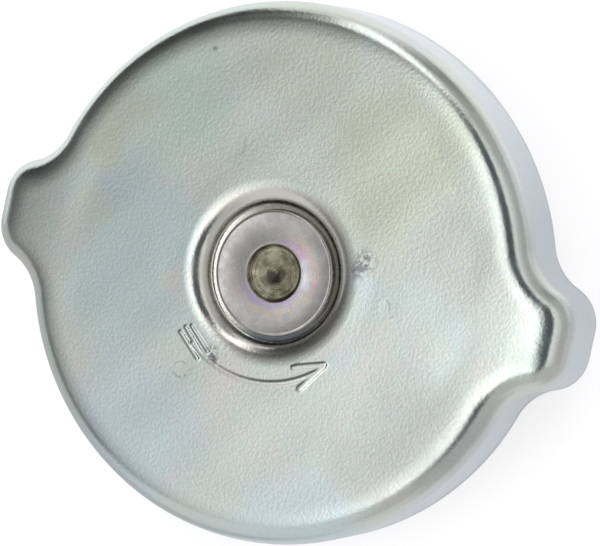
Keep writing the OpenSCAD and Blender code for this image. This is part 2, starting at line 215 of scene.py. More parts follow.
class Section:
    """Section of a turned or pressed piece, carried round the Z axis."""

    # Bend, in radians, below which a corner stays as it is
    LEAST_BEND = 0.02

    def __init__(self, corners: Sequence[Corner], steps: int = 5) -> None:
        """Keep the corners.

        Args:
            corners: Corners in order. A section whose ends lie on the axis is open, others close.
            steps: Points along each rounded corner.
        """
        self.corners = list(corners)
        self.steps = steps
        self.open = corners[0].r == 0.0 and corners[-1].r == 0.0

    def points(self) -> np.ndarray:
        """Round the corners and hold the long edges straight.

        Returns:
            Points of the section.
        """
        rounded: list[np.ndarray] = []
        count = len(self.corners)
        for i, corner in enumerate(self.corners):
            at_end = self.open and i in (0, count - 1)
            if corner.fillet <= 0.0 or at_end:
                rounded.append(corner.place())
            else:
                rounded.extend(self.arc(corner, self.corners[i - 1], self.corners[(i + 1) % count]))
        return self.supported(np.array(rounded))

    def arc(self, corner: Corner, before: Corner, after: Corner) -> list[np.ndarray]:
        """Points of the arc that rounds one corner.

        Args:
            corner: The corner.
            before: The corner before it.
            after: The corner after it.

        Returns:
            Points from the first tangent point to the second one.
        """
        here = corner.place()
        to_before = (before.place() - here) / np.linalg.norm(before.place() - here)
        to_after = (after.place() - here) / np.linalg.norm(after.place() - here)
        angle = math.acos(float(np.clip(to_before @ to_after, -1.0, 1.0)))
        if angle > math.pi - self.LEAST_BEND:
            return [here]
        middle = (to_before + to_after) / np.linalg.norm(to_before + to_after)
        centre = here + middle * corner.fillet / math.sin(angle / 2.0)
        run = corner.fillet / math.tan(angle / 2.0)
        start = here + to_before * run - centre
        end = here + to_after * run - centre
        sweep = math.pi - angle
        shares = np.linspace(0.0, 1.0, self.steps + 1)
        return [centre + (start * math.sin((1.0 - t) * sweep) + end * math.sin(t * sweep)) / math.sin(sweep)
                for t in shares]

    def supported(self, points: np.ndarray, near: float = 0.12, least: float = 0.6) -> np.ndarray:
        """Add a point close to each end of every long edge, so that flats shade flat.

        Args:
            points: Points of the section.
            near: Distance of an added point from the end of its edge.
            least: Shortest edge that gets added points.

        Returns:
            The section with the added points.
        """
        out: list[np.ndarray] = []
        count = len(points)
        for i in range(count):
            out.append(points[i])
            if self.open and i == count - 1:
                break
            step = points[(i + 1) % count] - points[i]
            length = float(np.linalg.norm(step))
            if length > least:
                out.append(points[i] + step * near / length)
                out.append(points[(i + 1) % count] - step * near / length)
        return np.array(out)

    def turn(self, name: str, segments: int) -> bpy.types.Object:
        """Carry the section round the axis.

        Args:
            name: Name of the piece.
            segments: Steps in a full turn.

        Returns:
            The finished object.
        """
        section = self.points()
        angles = np.arange(segments) * (2.0 * math.pi / segments)
        inner = section[1:-1] if self.open else section
        rings = np.stack([
            np.outer(inner[:, 0], np.cos(angles)),
            np.outer(inner[:, 0], np.sin(angles)),
            np.repeat(inner[:, 1:2], segments, axis=1)], axis=2)
        points = rings.reshape(-1, 3)
        faces = MeshMaker.ring_faces(len(inner), segments, not self.open)
        if self.open:
            first = len(points)
            last = (len(inner) - 1) * segments
            poles = np.array([[0.0, 0.0, section[0, 1]], [0.0, 0.0, section[-1, 1]]])
            points = np.vstack([points, poles])
            for j in range(segments):
                k = (j + 1) % segments
                faces.append((first, k, j))
                faces.append((first + 1, last + j, last + k))
        return MeshMaker.build(name, points, faces)


class NodeSketch:
    """Adds nodes to a node tree and joins their sockets."""

    def __init__(self, tree: bpy.types.NodeTree) -> None:
        """Start on an emptied tree."""
        self.tree = tree
        tree.nodes.clear()

    def add(self, kind: str, *values: Any, **settings: Any) -> bpy.types.Node:
        """Add a node, set its properties and feed its first inputs.

        Args:
            kind: Blender's name of the node type.
            values: Values or sockets for the inputs, in order.
            settings: Properties of the node.

        Returns:
            The new node.
        """
        node = self.tree.nodes.new(kind)
        for key, value in settings.items():
            setattr(node, key, value)
        for socket, value in zip(node.inputs, values):
            self.feed(socket, value)
        return node

    def feed(self, socket: Socket, value: Any) -> None:
        """Join another socket to this one, or set its own value.

        Args:
            socket: Input of a node.
            value: Output of another node, or a plain value.
        """
        if isinstance(value, Socket):
            self.tree.links.new(value, socket)
        else:
            socket.default_value = value

    def math(self, operation: str, a: Value, b: Value = 0.0) -> Socket:
        """Result of a Math node."""
        return self.add("ShaderNodeMath", a, b, operation=operation).outputs[0]

    def plus(self, a: Value, b: Value) -> Socket:
        """Sum of two values."""
        return self.math("ADD", a, b)

    def minus(self, a: Value, b: Value) -> Socket:
        """Difference of two values."""
        return self.math("SUBTRACT", a, b)

    def times(self, a: Value, b: Value) -> Socket:
        """Product of two values."""
        return self.math("MULTIPLY", a, b)

    def over(self, a: Value, b: Value) -> Socket:
        """Quotient of two values."""
        return self.math("DIVIDE", a, b)

    def blend(self, share: Value, a: Value, b: Value) -> Socket:
        """Value between a and b by a share."""
        return self.plus(self.times(a, self.minus(1.0, share)), self.times(b, share))

    def remap(self, value: Value, low: float, high: float,
              to_low: float = 0.0, to_high: float = 1.0) -> Socket:
        """Map a range to another one with a smooth step.

        Args:
            value: Value to map.
            low: Start of the range.
            high: End of the range.
            to_low: Result at its start and before it.
            to_high: Result at its end and after it.

        Returns:
            The result.
        """
        node = self.add("ShaderNodeMapRange", value, low, high, to_low, to_high,
                        interpolation_type="SMOOTHSTEP")
        return node.outputs[0]

    def parts(self, place: Socket) -> Sequence[Socket]:
        """The three parts of a place."""
        return self.add("ShaderNodeSeparateXYZ", place).outputs

    def turned_parts(self, place: Socket, turn: float, scale: float = 1.0) -> Sequence[Socket]:
        """The three parts of a place along axes that are turned round Z.

        Args:
            place: The place.
            turn: Turn of the axes.
            scale: Factor on the parts.

        Returns:
            The parts to the right, ahead and up.
        """
        turned = self.add("ShaderNodeMapping", place, vector_type="POINT")
        turned.inputs["Rotation"].default_value = (0.0, 0.0, -math.radians(turn))
        turned.inputs["Scale"].default_value = (scale,) * 3
        return self.parts(turned.outputs[0])

    def colour_of(self, red: Value, green: Value, blue: Value) -> Socket:
        """A colour made of its three levels."""
        return self.add("ShaderNodeCombineColor", red, green, blue).outputs[0]


@dataclass(frozen=True)
class Cloud:
    """Noise: size of its cells, finer layers and their strength, and the range that it is mapped to."""

    size: float
    detail: float
    rough: float = 0.5
    span: Union[Span, None] = None


class ShaderSketch(NodeSketch):
    """Node sketch of a material with one Principled shader."""

    # Share of a sector's half width that it covers fully
    SECTOR_CORE = 0.35

    def __init__(self, name: str) -> None:
        """Make the material, its shader, its output and its object coordinates.

        Args:
            name: Name of the material.
        """
        self.material = bpy.data.materials.new(name)
        self.material.use_nodes = True
        super().__init__(self.material.node_tree)
        self.shader = self.add("ShaderNodeBsdfPrincipled")
        output = self.add("ShaderNodeOutputMaterial")
        self.feed(output.inputs["Surface"], self.shader.outputs[0])
        self.place = self.add("ShaderNodeTexCoord").outputs["Object"]

    def set(self, socket: str, value: Any) -> None:
        """Set or join one input of the shader.

        Args:
            socket: Name of the input.
            value: Number, colour or socket.
        """
        if isinstance(value, tuple):
            value = (*value, 1.0)
        self.feed(self.shader.inputs[socket], value)

    def moved(self, offset: Point3, stretch: Point3 = (1.0, 1.0, 1.0)) -> Socket:
        """Move and stretch the object coordinates.

        Args:
            offset: Move, in millimetres.
            stretch: Factor along each axis.

        Returns:
            The coordinates.
        """
        node = self.add("ShaderNodeMapping", self.place)
        node.inputs["Location"].default_value = [value * MM for value in offset]
        node.inputs["Scale"].default_value = stretch
        return node.outputs[0]

    def noise_node(self, cloud: Cloud, place: Union[Socket, None] = None) -> bpy.types.Node:
        """Add a noise node.

        Args:
            cloud: The noise.
            place: Coordinates, or None for the object's own.

        Returns:
            The node.
        """
        node = self.add("ShaderNodeTexNoise", place or self.place)
        node.inputs["Scale"].default_value = 1.0 / (cloud.size * MM)
        node.inputs["Detail"].default_value = cloud.detail
        node.inputs["Roughness"].default_value = cloud.rough
        return node

    def noise(self, cloud: Cloud, place: Union[Socket, None] = None) -> Socket:
        """Level of a noise, mapped to its range if it has one."""
        level = self.noise_node(cloud, place).outputs["Fac"]
        return level if cloud.span is None else self.remap(level, *cloud.span)

    def vector(self, operation: str, *terms: Any) -> bpy.types.Node:
        """Add a Vector Math node with its terms."""
        return self.add("ShaderNodeVectorMath", *terms, operation=operation)

    def mix(self, factor: Value, a: Any, b: Any, blend: str = "MIX") -> Socket:
        """Mix two colours.

        Args:
            factor: Share of the second colour.
            a: First colour.
            b: Second colour.
            blend: Blender's name of the way to mix.

        Returns:
            The mixed colour.
        """
        node = self.add("ShaderNodeMix", factor, data_type="RGBA", blend_type=blend)
        for socket, colour in ((node.inputs[6], a), (node.inputs[7], b)):
            self.feed(socket, (*colour, 1.0) if isinstance(colour, tuple) else colour)
        return node.outputs[2]

    def polar(self) -> tuple[Socket, Socket, Socket]:
        """Object coordinates round the axis.

        Returns:
            Distance from the axis in millimetres, angle in radians and height in millimetres.
        """
        x, y, z = self.parts(self.place)
        square = self.plus(self.times(x, x), self.times(y, y))
        return self.over(self.math("SQRT", square), MM), self.math("ARCTAN2", y, x), self.over(z, MM)

    def warped(self, reach: float, cloud: Cloud) -> Socket:
        """Object coordinates flattened onto the face and pushed about by noise.

        Args:
            reach: Largest push, in millimetres.
            cloud: The noise.

        Returns:
            The coordinates.
        """
        push = self.vector("MULTIPLY_ADD", self.noise_node(cloud).outputs["Color"],
                           (2.0 * reach * MM,) * 3, (-reach * MM,) * 3)
        total = self.vector("ADD", self.place, push.outputs[0])
        return self.vector("MULTIPLY", total.outputs[0], (1.0, 1.0, 0.0)).outputs[0]

    def away(self, at: Point2, place: Socket) -> Socket:
        """Distance of a place from a point of the face, in millimetres."""
        node = self.vector("DISTANCE", place, (at[0] * MM, at[1] * MM, 0.0))
        return self.over(node.outputs["Value"], MM)

    def sector(self, angle: Socket, middle: float, half: float) -> Socket:
        """Mask of a sector round the axis, 1 in its middle.

        Args:
            angle: Angle round the axis, in radians.
            middle: Middle of the sector, in degrees.
            half: Half its width, in degrees.

        Returns:
            The mask.
        """
        turned = self.math("COSINE", self.minus(angle, math.radians(middle)))
        core = half * self.SECTOR_CORE
        return self.remap(turned, math.cos(math.radians(half)), math.cos(math.radians(core)))

    def band(self, value: Socket, low: float, high: float, soft: float) -> Socket:
        """Mask that is 1 between two values, with soft ends."""
        return self.times(self.remap(value, low - soft, low + soft),
                          self.remap(value, high + soft, high - soft))

    def bump(self, layers: Sequence[tuple[Socket, float]]) -> None:
        """Chain bump layers into the shader's normal.

        Args:
            layers: Height from 0 to 1, and the depth in millimetres that it stands for.
        """
        normal = None
        for height, depth in layers:
            node = self.add("ShaderNodeBump")
            self.feed(node.inputs["Height"], height)
            node.inputs["Strength"].default_value = 1.0
            node.inputs["Distance"].default_value = depth * MM
            if normal is not None:
                self.feed(node.inputs["Normal"], normal)
            normal = node.outputs["Normal"]
        self.set("Normal", normal)


@dataclass(frozen=True)
class Patch:
    """Soft patch of colour on the face: its middle and radius, its colour and its strength."""

    at: Point2
    radius: float
    colour: Colour
    strength: float = 1.0

    def mask(self, sketch: ShaderSketch, place: Socket, core: float = 0.3) -> Socket:
        """Strength of the patch at a place; its core is a share of its radius."""
        away = sketch.away(self.at, place)
        return sketch.remap(away, self.radius, self.radius * core, 0.0, self.strength)


@dataclass(frozen=True)
class Drift:
    """Slow change of the film towards a colour, in clouds that start from an offset."""

    cloud: Cloud
    offset: Point3
    colour: Colour


TEAL: Colour = (0.545, 0.645, 0.638)
YELLOW_GREEN: Colour = (0.57, 0.618, 0.52)
LEAF_GREY: Colour = (0.57, 0.67, 0.615)
PINK_BEIGE: Colour = (0.67, 0.635, 0.605)
PALE_BLUE: Colour = (0.575, 0.655, 0.685)
FILM_BLUE: Colour = (0.50, 0.57, 0.68)
FILM_YELLOW: Colour = (0.60, 0.625, 0.49)
# Painted shade that tones down the face near the highlight at the right
SHADE_GREY: Colour = (0.49, 0.525, 0.50)
SOOT: Colour = (0.20, 0.20, 0.22)


@dataclass(frozen=True)
class PlatedZinc:
    """Zinc plate with a clear passivated film: grainy satin metal with faint tints, a few marks, painted
    shade and a bluish painted reflection.

    A sector is given by its middle and half its width.
    """

    name: str = "plated_zinc"
    grey: Colour = (0.605, 0.665, 0.625)
    lift: float = 1.085
    drifts: tuple[Drift, ...] = (
        Drift(Cloud(9.0, 3.0, 0.55, (0.46, 0.68, 0.0, 0.6)), (5.0, -23.0, 60.0), PINK_BEIGE),
        Drift(Cloud(13.0, 3.0, 0.55, (0.48, 0.7, 0.0, 0.6)), (31.0, 7.0, 3.0), PALE_BLUE))
    speckle: Cloud = Cloud(0.45, 1.0)
    speckle_share: float = 0.16
    # Bluish painted reflection of the pale floor on the skirt, and the heights over which it fades in
    skirt_reflected_blue: Colour = (0.60, 0.655, 0.69)
    skirt_reflection_heights: Point2 = (27.2, 24.5)
    dimple_warm: Colour = (0.655, 0.63, 0.575)
    dimple_film: Span = (13.6, 12.0, 0.0, 0.8)
    # Painted shade in the gap round the rivet's head, olive and bluish towards the bottom, left out in the
    # sector at the left
    shade_olive: Colour = (0.21, 0.205, 0.175)
    shade_blue: Colour = (0.13, 0.155, 0.17)
    shade_edge: Span = (10.9, 10.0, 0.0, 0.9)
    shade_fray: Cloud = Cloud(1.3, 3.0, 0.6, (0.3, 0.7, -0.25, 0.25))
    shade_blue_sector: Point2 = (-80.0, 50.0)
    unshaded_sector: Point2 = (188.0, 80.0)
    roughness: Cloud = Cloud(6.0, 2.0, 0.5, (0.3, 0.7, 0.11, 0.21))
    grain: Cloud = Cloud(0.5, 4.0, 0.66, (0.25, 0.75, 0.0, 1.0))
    grain_depth: float = 0.0108
    tint_push: float = 5.0
    tint_warp: Cloud = Cloud(9.0, 3.0)
    tints: tuple[Patch, ...] = (
        Patch((-22.7, 0.5), 17.0, TEAL), Patch((-22.1, -9.1), 13.0, TEAL, 0.8),
        Patch((15.9, 22.1), 18.0, YELLOW_GREEN), Patch((13.6, 11.1), 10.0, YELLOW_GREEN, 0.8),
        Patch((-2.4, 31.4), 13.0, YELLOW_GREEN, 0.7), Patch((-21.2, 21.8), 13.0, LEAF_GREY),
        Patch((-15.9, -28.7), 15.0, PALE_BLUE), Patch((13.0, -35.6), 12.0, PALE_BLUE),
        Patch((-32.4, 0.2), 5.0, PINK_BEIGE, 0.5), Patch((-3.9, -18.0), 6.0, PINK_BEIGE, 0.7),
        Patch((-13.8, -5.2), 3.5, PINK_BEIGE, 0.6), Patch((29.0, 8.0), 7.0, PINK_BEIGE, 0.35),
        # The grey patches on this line and the next are painted shade near the right-hand highlight
        Patch((29.0, -16.5), 13.0, SHADE_GREY, 0.8), Patch((20.5, -24.0), 9.0, SHADE_GREY, 0.6),
        Patch((29.5, 10.0), 11.0, SHADE_GREY, 0.6), Patch((-29.3, 11.6), 5.5, FILM_YELLOW, 0.6),
        Patch((-27.2, 18.1), 7.0, FILM_YELLOW, 0.45), Patch((-28.2, 6.0), 3.6, FILM_BLUE, 0.3),
        Patch((-29.5, 4.0), 3.5, FILM_YELLOW, 0.4))
    mark_push: float = 0.35
    mark_warp: Cloud = Cloud(1.2, 3.0)
    stain_fray: Cloud = Cloud(0.9, 3.0, 0.65, (0.42, 0.56, 0.0, 1.0))
    stains: tuple[Patch, ...] = (
        Patch((14.3, 5.0), 2.6, SOOT), Patch((13.4, 3.4), 1.9, SOOT, 0.8),
        Patch((-6.5, -13.4), 1.5, SOOT, 1.2), Patch((-5.9, -14.4), 1.1, SOOT, 1.2),
        Patch((-15.8, 30.3), 0.7, SOOT, 0.8))
    weld_marks: tuple[Point2, ...] = ((-10.8, -17.1), (18.4, -0.7))
    weld_ring: Point3 = (1.05, 1.25, 0.12)
    weld_breaks: Cloud = Cloud(1.6, 2.0, 0.5, (0.46, 0.56, 0.0, 0.4))

    def material(self) -> bpy.types.Material:
        """Build the material.

        Returns:
            The material.
        """
        sketch = ShaderSketch(self.name)
        radius, angle, height = sketch.polar()
        colour = self.film(sketch, height)
        colour = self.dimple_tint_and_shade(sketch, colour, radius, angle)
        sketch.set("Base Color", self.marks(sketch, colour))
        sketch.set("Metallic", 1.0)
        sketch.set("Roughness", sketch.noise(self.roughness))
        sketch.bump(((sketch.noise(self.grain), self.grain_depth),))
        return sketch.material

    def film(self, sketch: ShaderSketch, height: Socket) -> Socket:
        """Colour of the film, with its tinted patches, painted shade patches near the right-hand highlight,
        and a bluish painted reflection down the skirt.

        Args:
            sketch: The material's sketch.
            height: Height of the point, in millimetres.

        Returns:
            The colour.
        """
        colour: Any = self.grey
        for drift in self.drifts:
            share = sketch.noise(drift.cloud, sketch.moved(drift.offset))
            colour = sketch.mix(share, colour, drift.colour)
        place = sketch.warped(self.tint_push, self.tint_warp)
        for patch in self.tints:
            colour = sketch.mix(patch.mask(sketch, place), colour, patch.colour)
        # Bluish painted reflection of the floor down the skirt
        colour = sketch.mix(sketch.remap(height, *self.skirt_reflection_heights), colour, self.skirt_reflected_blue)
        tone = sketch.mix(self.speckle_share, WHITE, sketch.noise_node(self.speckle).outputs["Color"])
        spotted = sketch.mix(1.0, colour, tone, "MULTIPLY")
        return sketch.mix(1.0, spotted, (self.lift,) * 3, "MULTIPLY")

    def dimple_tint_and_shade(self, sketch: ShaderSketch, colour: Socket, radius: Socket, angle: Socket) -> Socket:
        """Warmer colour on the dimple's wall, and painted shade in the gap round the rivet's head: olive,
        bluish towards the bottom, and left out at the left.

        Args:
            sketch: The material's sketch.
            colour: Colour so far.
            radius: Distance from the axis, in millimetres.
            angle: Angle round the axis, in radians.

        Returns:
            The colour.
        """
        colour = sketch.mix(sketch.remap(radius, *self.dimple_film), colour, self.dimple_warm)
        frayed = sketch.plus(radius, sketch.noise(self.shade_fray))
        painted_shade = sketch.mix(sketch.sector(angle, *self.shade_blue_sector), self.shade_olive, self.shade_blue)
        shaded_share = sketch.minus(1.0, sketch.sector(angle, *self.unshaded_sector))
        return sketch.mix(sketch.times(sketch.remap(frayed, *self.shade_edge), shaded_share), colour, painted_shade)

    def marks(self, sketch: ShaderSketch, colour: Socket) -> Socket:
        """Stains, and the broken rings that spot welds leave.

        Args:
            sketch: The material's sketch.
            colour: Colour so far.

        Returns:
            The colour.
        """
        frayed = sketch.noise(self.stain_fray)
        place = sketch.warped(self.mark_push, self.mark_warp)
        for patch in self.stains:
            colour = sketch.mix(sketch.times(patch.mask(sketch, place, 0.0), frayed), colour, patch.colour)
        broken = sketch.noise(self.weld_breaks)
        for mark in self.weld_marks:
            ring = sketch.band(sketch.away(mark, place), *self.weld_ring)
            colour = sketch.mix(sketch.times(ring, broken), colour, SOOT)
        return colour


@dataclass(frozen=True)
class TintArc:
    """Arc of colour on the rivet's ring, heat tint for most, painted shade for the grey one: middle and half
    width, radii, colour and strength.
    """

    middle: float
    half: float
    inner: float
    outer: float
    colour: Colour
    strength: float


@dataclass(frozen=True)
class RolledRivet:
    """Rolled rivet steel: satin ring with heat tints round a brown drilled recess, with painted shade on the
    ring's upper left and in the recess.
    """

    name: str = "rolled_rivet"
    satin: Colour = (0.50, 0.488, 0.475)
    blotches: Cloud = Cloud(2.2, 3.0, 0.6, (0.3, 0.7, 0.86, 1.06))
    tint_wobble: Cloud = Cloud(1.9, 3.0, 0.55, (0.25, 0.75, -0.55, 0.55))
    tint_soft: float = 0.4
    tints: tuple[TintArc, ...] = (
        TintArc(-90.0, 95.0, 4.2, 5.3, (0.47, 0.38, 0.54), 0.85),
        TintArc(62.0, 45.0, 4.4, 5.6, (0.55, 0.39, 0.52), 0.8),
        TintArc(30.0, 62.0, 5.9, 6.9, (0.60, 0.47, 0.42), 0.75),
        TintArc(-75.0, 70.0, 5.7, 6.4, (0.58, 0.48, 0.40), 0.6),
        TintArc(8.0, 32.0, 4.5, 5.7, (0.58, 0.58, 0.62), 0.9),
        TintArc(-8.0, 12.0, 6.3, 6.9, (0.58, 0.38, 0.52), 0.7),
        TintArc(-140.0, 40.0, 5.9, 6.8, (0.54, 0.42, 0.46), 0.5),
        # Painted shade: the grey arc darkens the ring's upper left
        TintArc(140.0, 95.0, 4.3, 6.6, (0.40, 0.40, 0.375), 0.6))
    recess: Colour = (0.15, 0.138, 0.09)
    recess_light: Colour = (0.42, 0.40, 0.31)
    recess_edge: Point2 = (4.4, 4.25)
    recess_patches: Cloud = Cloud(1.5, 3.0, 0.6)
    recess_contrast: Point2 = (0.4, 0.62)
    turning_per_mm: float = 7.0
    turning_detail: float = 2.0
    turning_share: float = 0.45
    dip_shade_push: float = 0.35
    dip_shade_warp: Cloud = Cloud(1.1, 3.0)
    # Painted shade: a near-black spot in the recess's middle dip and a darker patch at its upper left
    dip_shades: tuple[Patch, ...] = (
        Patch((-0.4, -0.9), 1.75, (0.035, 0.032, 0.024), 0.85),
        Patch((-3.0, 1.4), 2.3, (0.06, 0.055, 0.04), 0.4))
    roughness: Cloud = Cloud(1.2, 2.0, 0.5, (0.3, 0.7, 0.23, 0.35))
    grain: Cloud = Cloud(0.32, 2.0, 0.6)
    grain_depth: float = 0.016
    groove_depth: float = 0.02

    def material(self) -> bpy.types.Material:
        """Build the material.

        Returns:
            The material.
        """
        sketch = ShaderSketch(self.name)
        radius, angle, _ = sketch.polar()
        turning = self.turning_marks(sketch, radius)
        inside = sketch.remap(radius, *self.recess_edge)
        colour = sketch.mix(inside, self.ring(sketch, radius, angle), self.drilled(sketch, turning))
        sketch.set("Base Color", colour)
        sketch.set("Metallic", 1.0)
        sketch.set("Roughness", sketch.noise(self.roughness))
        grooves = sketch.times(turning, inside)
        sketch.bump(((sketch.noise(self.grain), self.grain_depth), (grooves, self.groove_depth)))
        return sketch.material

    def turning_marks(self, sketch: ShaderSketch, radius: Socket) -> Socket:
        """Fine rings that the drill left.

        Args:
            sketch: The material's sketch.
            radius: Distance from the axis, in millimetres.

        Returns:
            Level of the marks.
        """
        node = sketch.add("ShaderNodeTexNoise", noise_dimensions="1D")
        sketch.feed(node.inputs["W"], radius)
        node.inputs["Scale"].default_value = self.turning_per_mm
        node.inputs["Detail"].default_value = self.turning_detail
        return node.outputs["Fac"]

    def ring(self, sketch: ShaderSketch, radius: Socket, angle: Socket) -> Socket:
        """Blotched satin of the rolled ring, with its heat tints and painted shade on its upper left.

        Args:
            sketch: The material's sketch.
            radius: Distance from the axis, in millimetres.
            angle: Angle round the axis, in radians.

        Returns:
            The colour.
        """
        wavy = sketch.plus(radius, sketch.noise(self.tint_wobble))
        blotch = sketch.noise(self.blotches)
        colour = sketch.mix(1.0, self.satin, sketch.colour_of(blotch, blotch, blotch), "MULTIPLY")
        for tint in self.tints:
            arc = sketch.sector(angle, tint.middle, tint.half)
            mask = sketch.times(arc, sketch.band(wavy, tint.inner, tint.outer, self.tint_soft))
            colour = sketch.mix(sketch.times(mask, tint.strength), colour, tint.colour)
        return colour

    def drilled(self, sketch: ShaderSketch, turning: Socket) -> Socket:
        """Brown floor of the recess, with painted shade in its middle dip and at its upper left.

        Args:
            sketch: The material's sketch.
            turning: Level of the turning marks.

        Returns:
            The colour.
        """
        patches = sketch.times(sketch.noise(self.recess_patches), 1.0 - self.turning_share)
        uneven = sketch.plus(sketch.times(turning, self.turning_share), patches)
        colour = sketch.mix(sketch.remap(uneven, *self.recess_contrast), self.recess, self.recess_light)
        place = sketch.warped(self.dip_shade_push, self.dip_shade_warp)
        for dip in self.dip_shades:
            colour = sketch.mix(dip.mask(sketch, place), colour, dip.colour)
        return colour


@dataclass(frozen=True)
class PressedMetal:
    """Drawn sheet or drawn wire: bright metal with fine draw marks and a few dull patches."""

    name: str
    colour: Colour
    dull: Colour
    roughness: float = 0.28
    dull_roughness: float = 0.14
    patches: Cloud = Cloud(7.0, 3.0, 0.6, (0.42, 0.66, 0.0, 1.0))
    marks: Cloud = Cloud(0.5, 2.0, 0.6)
    mark_stretch: Point3 = (1.0, 1.0, 1.0)
    mark_depth: float = 0.012

    def material(self) -> bpy.types.Material:
        """Build the material.

        Returns:
            The material.
        """
        sketch = ShaderSketch(self.name)
        patch = sketch.noise(self.patches)
        sketch.set("Base Color", sketch.mix(patch, self.colour, self.dull))
        sketch.set("Metallic", 1.0)
        rougher = self.roughness + self.dull_roughness
        sketch.set("Roughness", sketch.remap(patch, 0.0, 1.0, self.roughness, rougher))
        marks = sketch.noise(self.marks, sketch.moved((0.0, 0.0, 0.0), self.mark_stretch))
        sketch.bump(((marks, self.mark_depth),))
        return sketch.material


@dataclass(frozen=True)
class MouldedRubber:
    """Black moulded rubber with a fine matt grain and a trace of bloom."""

    name: str = "moulded_rubber"
    black: Colour = (0.022, 0.023, 0.025)
    bloom: Colour = (0.062, 0.062, 0.06)
    roughness: float = 0.62
    bloom_roughness: float = 0.16
    specular: float = 0.35
    patches: Cloud = Cloud(5.0, 4.0, 0.65, (0.45, 0.75, 0.0, 1.0))
    grain: Cloud = Cloud(0.4, 2.0, 0.6)
    grain_depth: float = 0.015

    def material(self) -> bpy.types.Material:
        """Build the material.

        Returns:
            The material.
        """
        sketch = ShaderSketch(self.name)
        patch = sketch.noise(self.patches)
        sketch.set("Base Color", sketch.mix(patch, self.black, self.bloom))
        rougher = self.roughness + self.bloom_roughness
        sketch.set("Roughness", sketch.remap(patch, 0.0, 1.0, self.roughness, rougher))
        sketch.set("Specular IOR Level", self.specular)
        sketch.bump(((sketch.noise(self.grain), self.grain_depth),))
        return sketch.material


class FinishSet:
    """All finishes of the cap, each built once."""

    def __init__(self) -> None:
        """Build the materials."""
        self.zinc = PlatedZinc().material()
        self.rivet = RolledRivet().material()
        self.sheet = PressedMetal("bright_sheet", (0.66, 0.67, 0.665), (0.58, 0.575, 0.55)).material()
        self.wire = PressedMetal("spring_wire", (0.47, 0.475, 0.48), (0.38, 0.375, 0.37), roughness=0.32,
                                 marks=Cloud(0.3, 2.0, 0.6), mark_depth=0.02).material()
        self.rubber = MouldedRubber().material()
        self.brass = PressedMetal("turned_brass", (0.72, 0.55, 0.24), (0.56, 0.41, 0.18), roughness=0.26,
                                  marks=Cloud(0.6, 2.0, 0.6), mark_stretch=(0.25, 0.25, 4.0)).material()

    def for_slot(self, slot: Slot) -> bpy.types.Material:
        """Give the finish of a material slot."""
        return {Slot.PLATED_SHEET: self.zinc, Slot.RIVET_STEEL: self.rivet, Slot.BRIGHT_SHEET: self.sheet,
                Slot.SPRING_WIRE: self.wire, Slot.RUBBER: self.rubber, Slot.BRASS: self.brass}[slot]


def dress(obj: bpy.types.Object, material: bpy.types.Material) -> None:
    """Give a piece one material."""
    obj.data.materials.clear()
    obj.data.materials.append(material)


def settle(obj: bpy.types.Object, node: str, body: Body) -> None:
    """Let a finished piece stand for a node and ride on its body.

    Args:
        obj: The finished piece.
        node: Node that it stands for.
        body: Body that carries it.
    """
    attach(obj, body.value)
    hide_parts(node)
    LOG.info("%s stands for %s on %s, %d faces", obj.name, node, body.value, len(obj.data.polygons))


@dataclass(frozen=True)
class Bend:
    """One arc of a pressed sheet's section, between two tilts."""

    radius: float
    start: float
    end: float
    steps: int = 1

    def run(self) -> float:
        """Length of the arc along the flat."""
        return self.radius * abs(math.sin(math.radians(self.end)) - math.sin(math.radians(self.start)))

    def fall(self) -> float:
        """Depth of the arc."""
        return self.radius * abs(math.cos(math.radians(self.end)) - math.cos(math.radians(self.start)))


def pressed_path(bends: Sequence[Bend]) -> list[Point2]:
    """Run and fall along a chain of arcs.

    Args:
        bends: The arcs in order.

    Returns:
        Run and fall of each point, from the first arc's start.
    """
    path = [(0.0, 0.0)]
    for bend in bends:
        run, fall = path[-1]
        for tilt in np.linspace(bend.start, bend.end, bend.steps + 1)[1:]:
            part = Bend(bend.radius, bend.start, float(tilt))
            path.append((run + part.run(), fall + part.fall()))
    return path


@dataclass(frozen=True)
class Ridge:
    """One raised line of the opening arrow, pressed into the face."""

    start: Point2
    end: Point2
    half_width: float
    height: float

    def rise(self, x: np.ndarray, y: np.ndarray) -> np.ndarray:
        """Height of the ridge over the face.

        Args:
            x: Places along X.
            y: Places along Y.

        Returns:
            The height at each place.
        """
        along = np.array(self.end) - np.array(self.start)
        t = ((x - self.start[0]) * along[0] + (y - self.start[1]) * along[1]) / float(along @ along)
        t = np.clip(t, 0.0, 1.0)
        away = np.hypot(x - self.start[0] - t * along[0], y - self.start[1] - t * along[1])
        return ridge_height(away, self.half_width, self.height)


def ridge_height(away: np.ndarray, half_width: float, height: float,
                 crest: float = 0.55, foot: float = 1.3) -> np.ndarray:
    """Height at distances from a ridge's middle; its flank's crest and foot are shares of its half width."""
    return height * (1.0 - smoothstep(half_width * crest, half_width * foot, away))


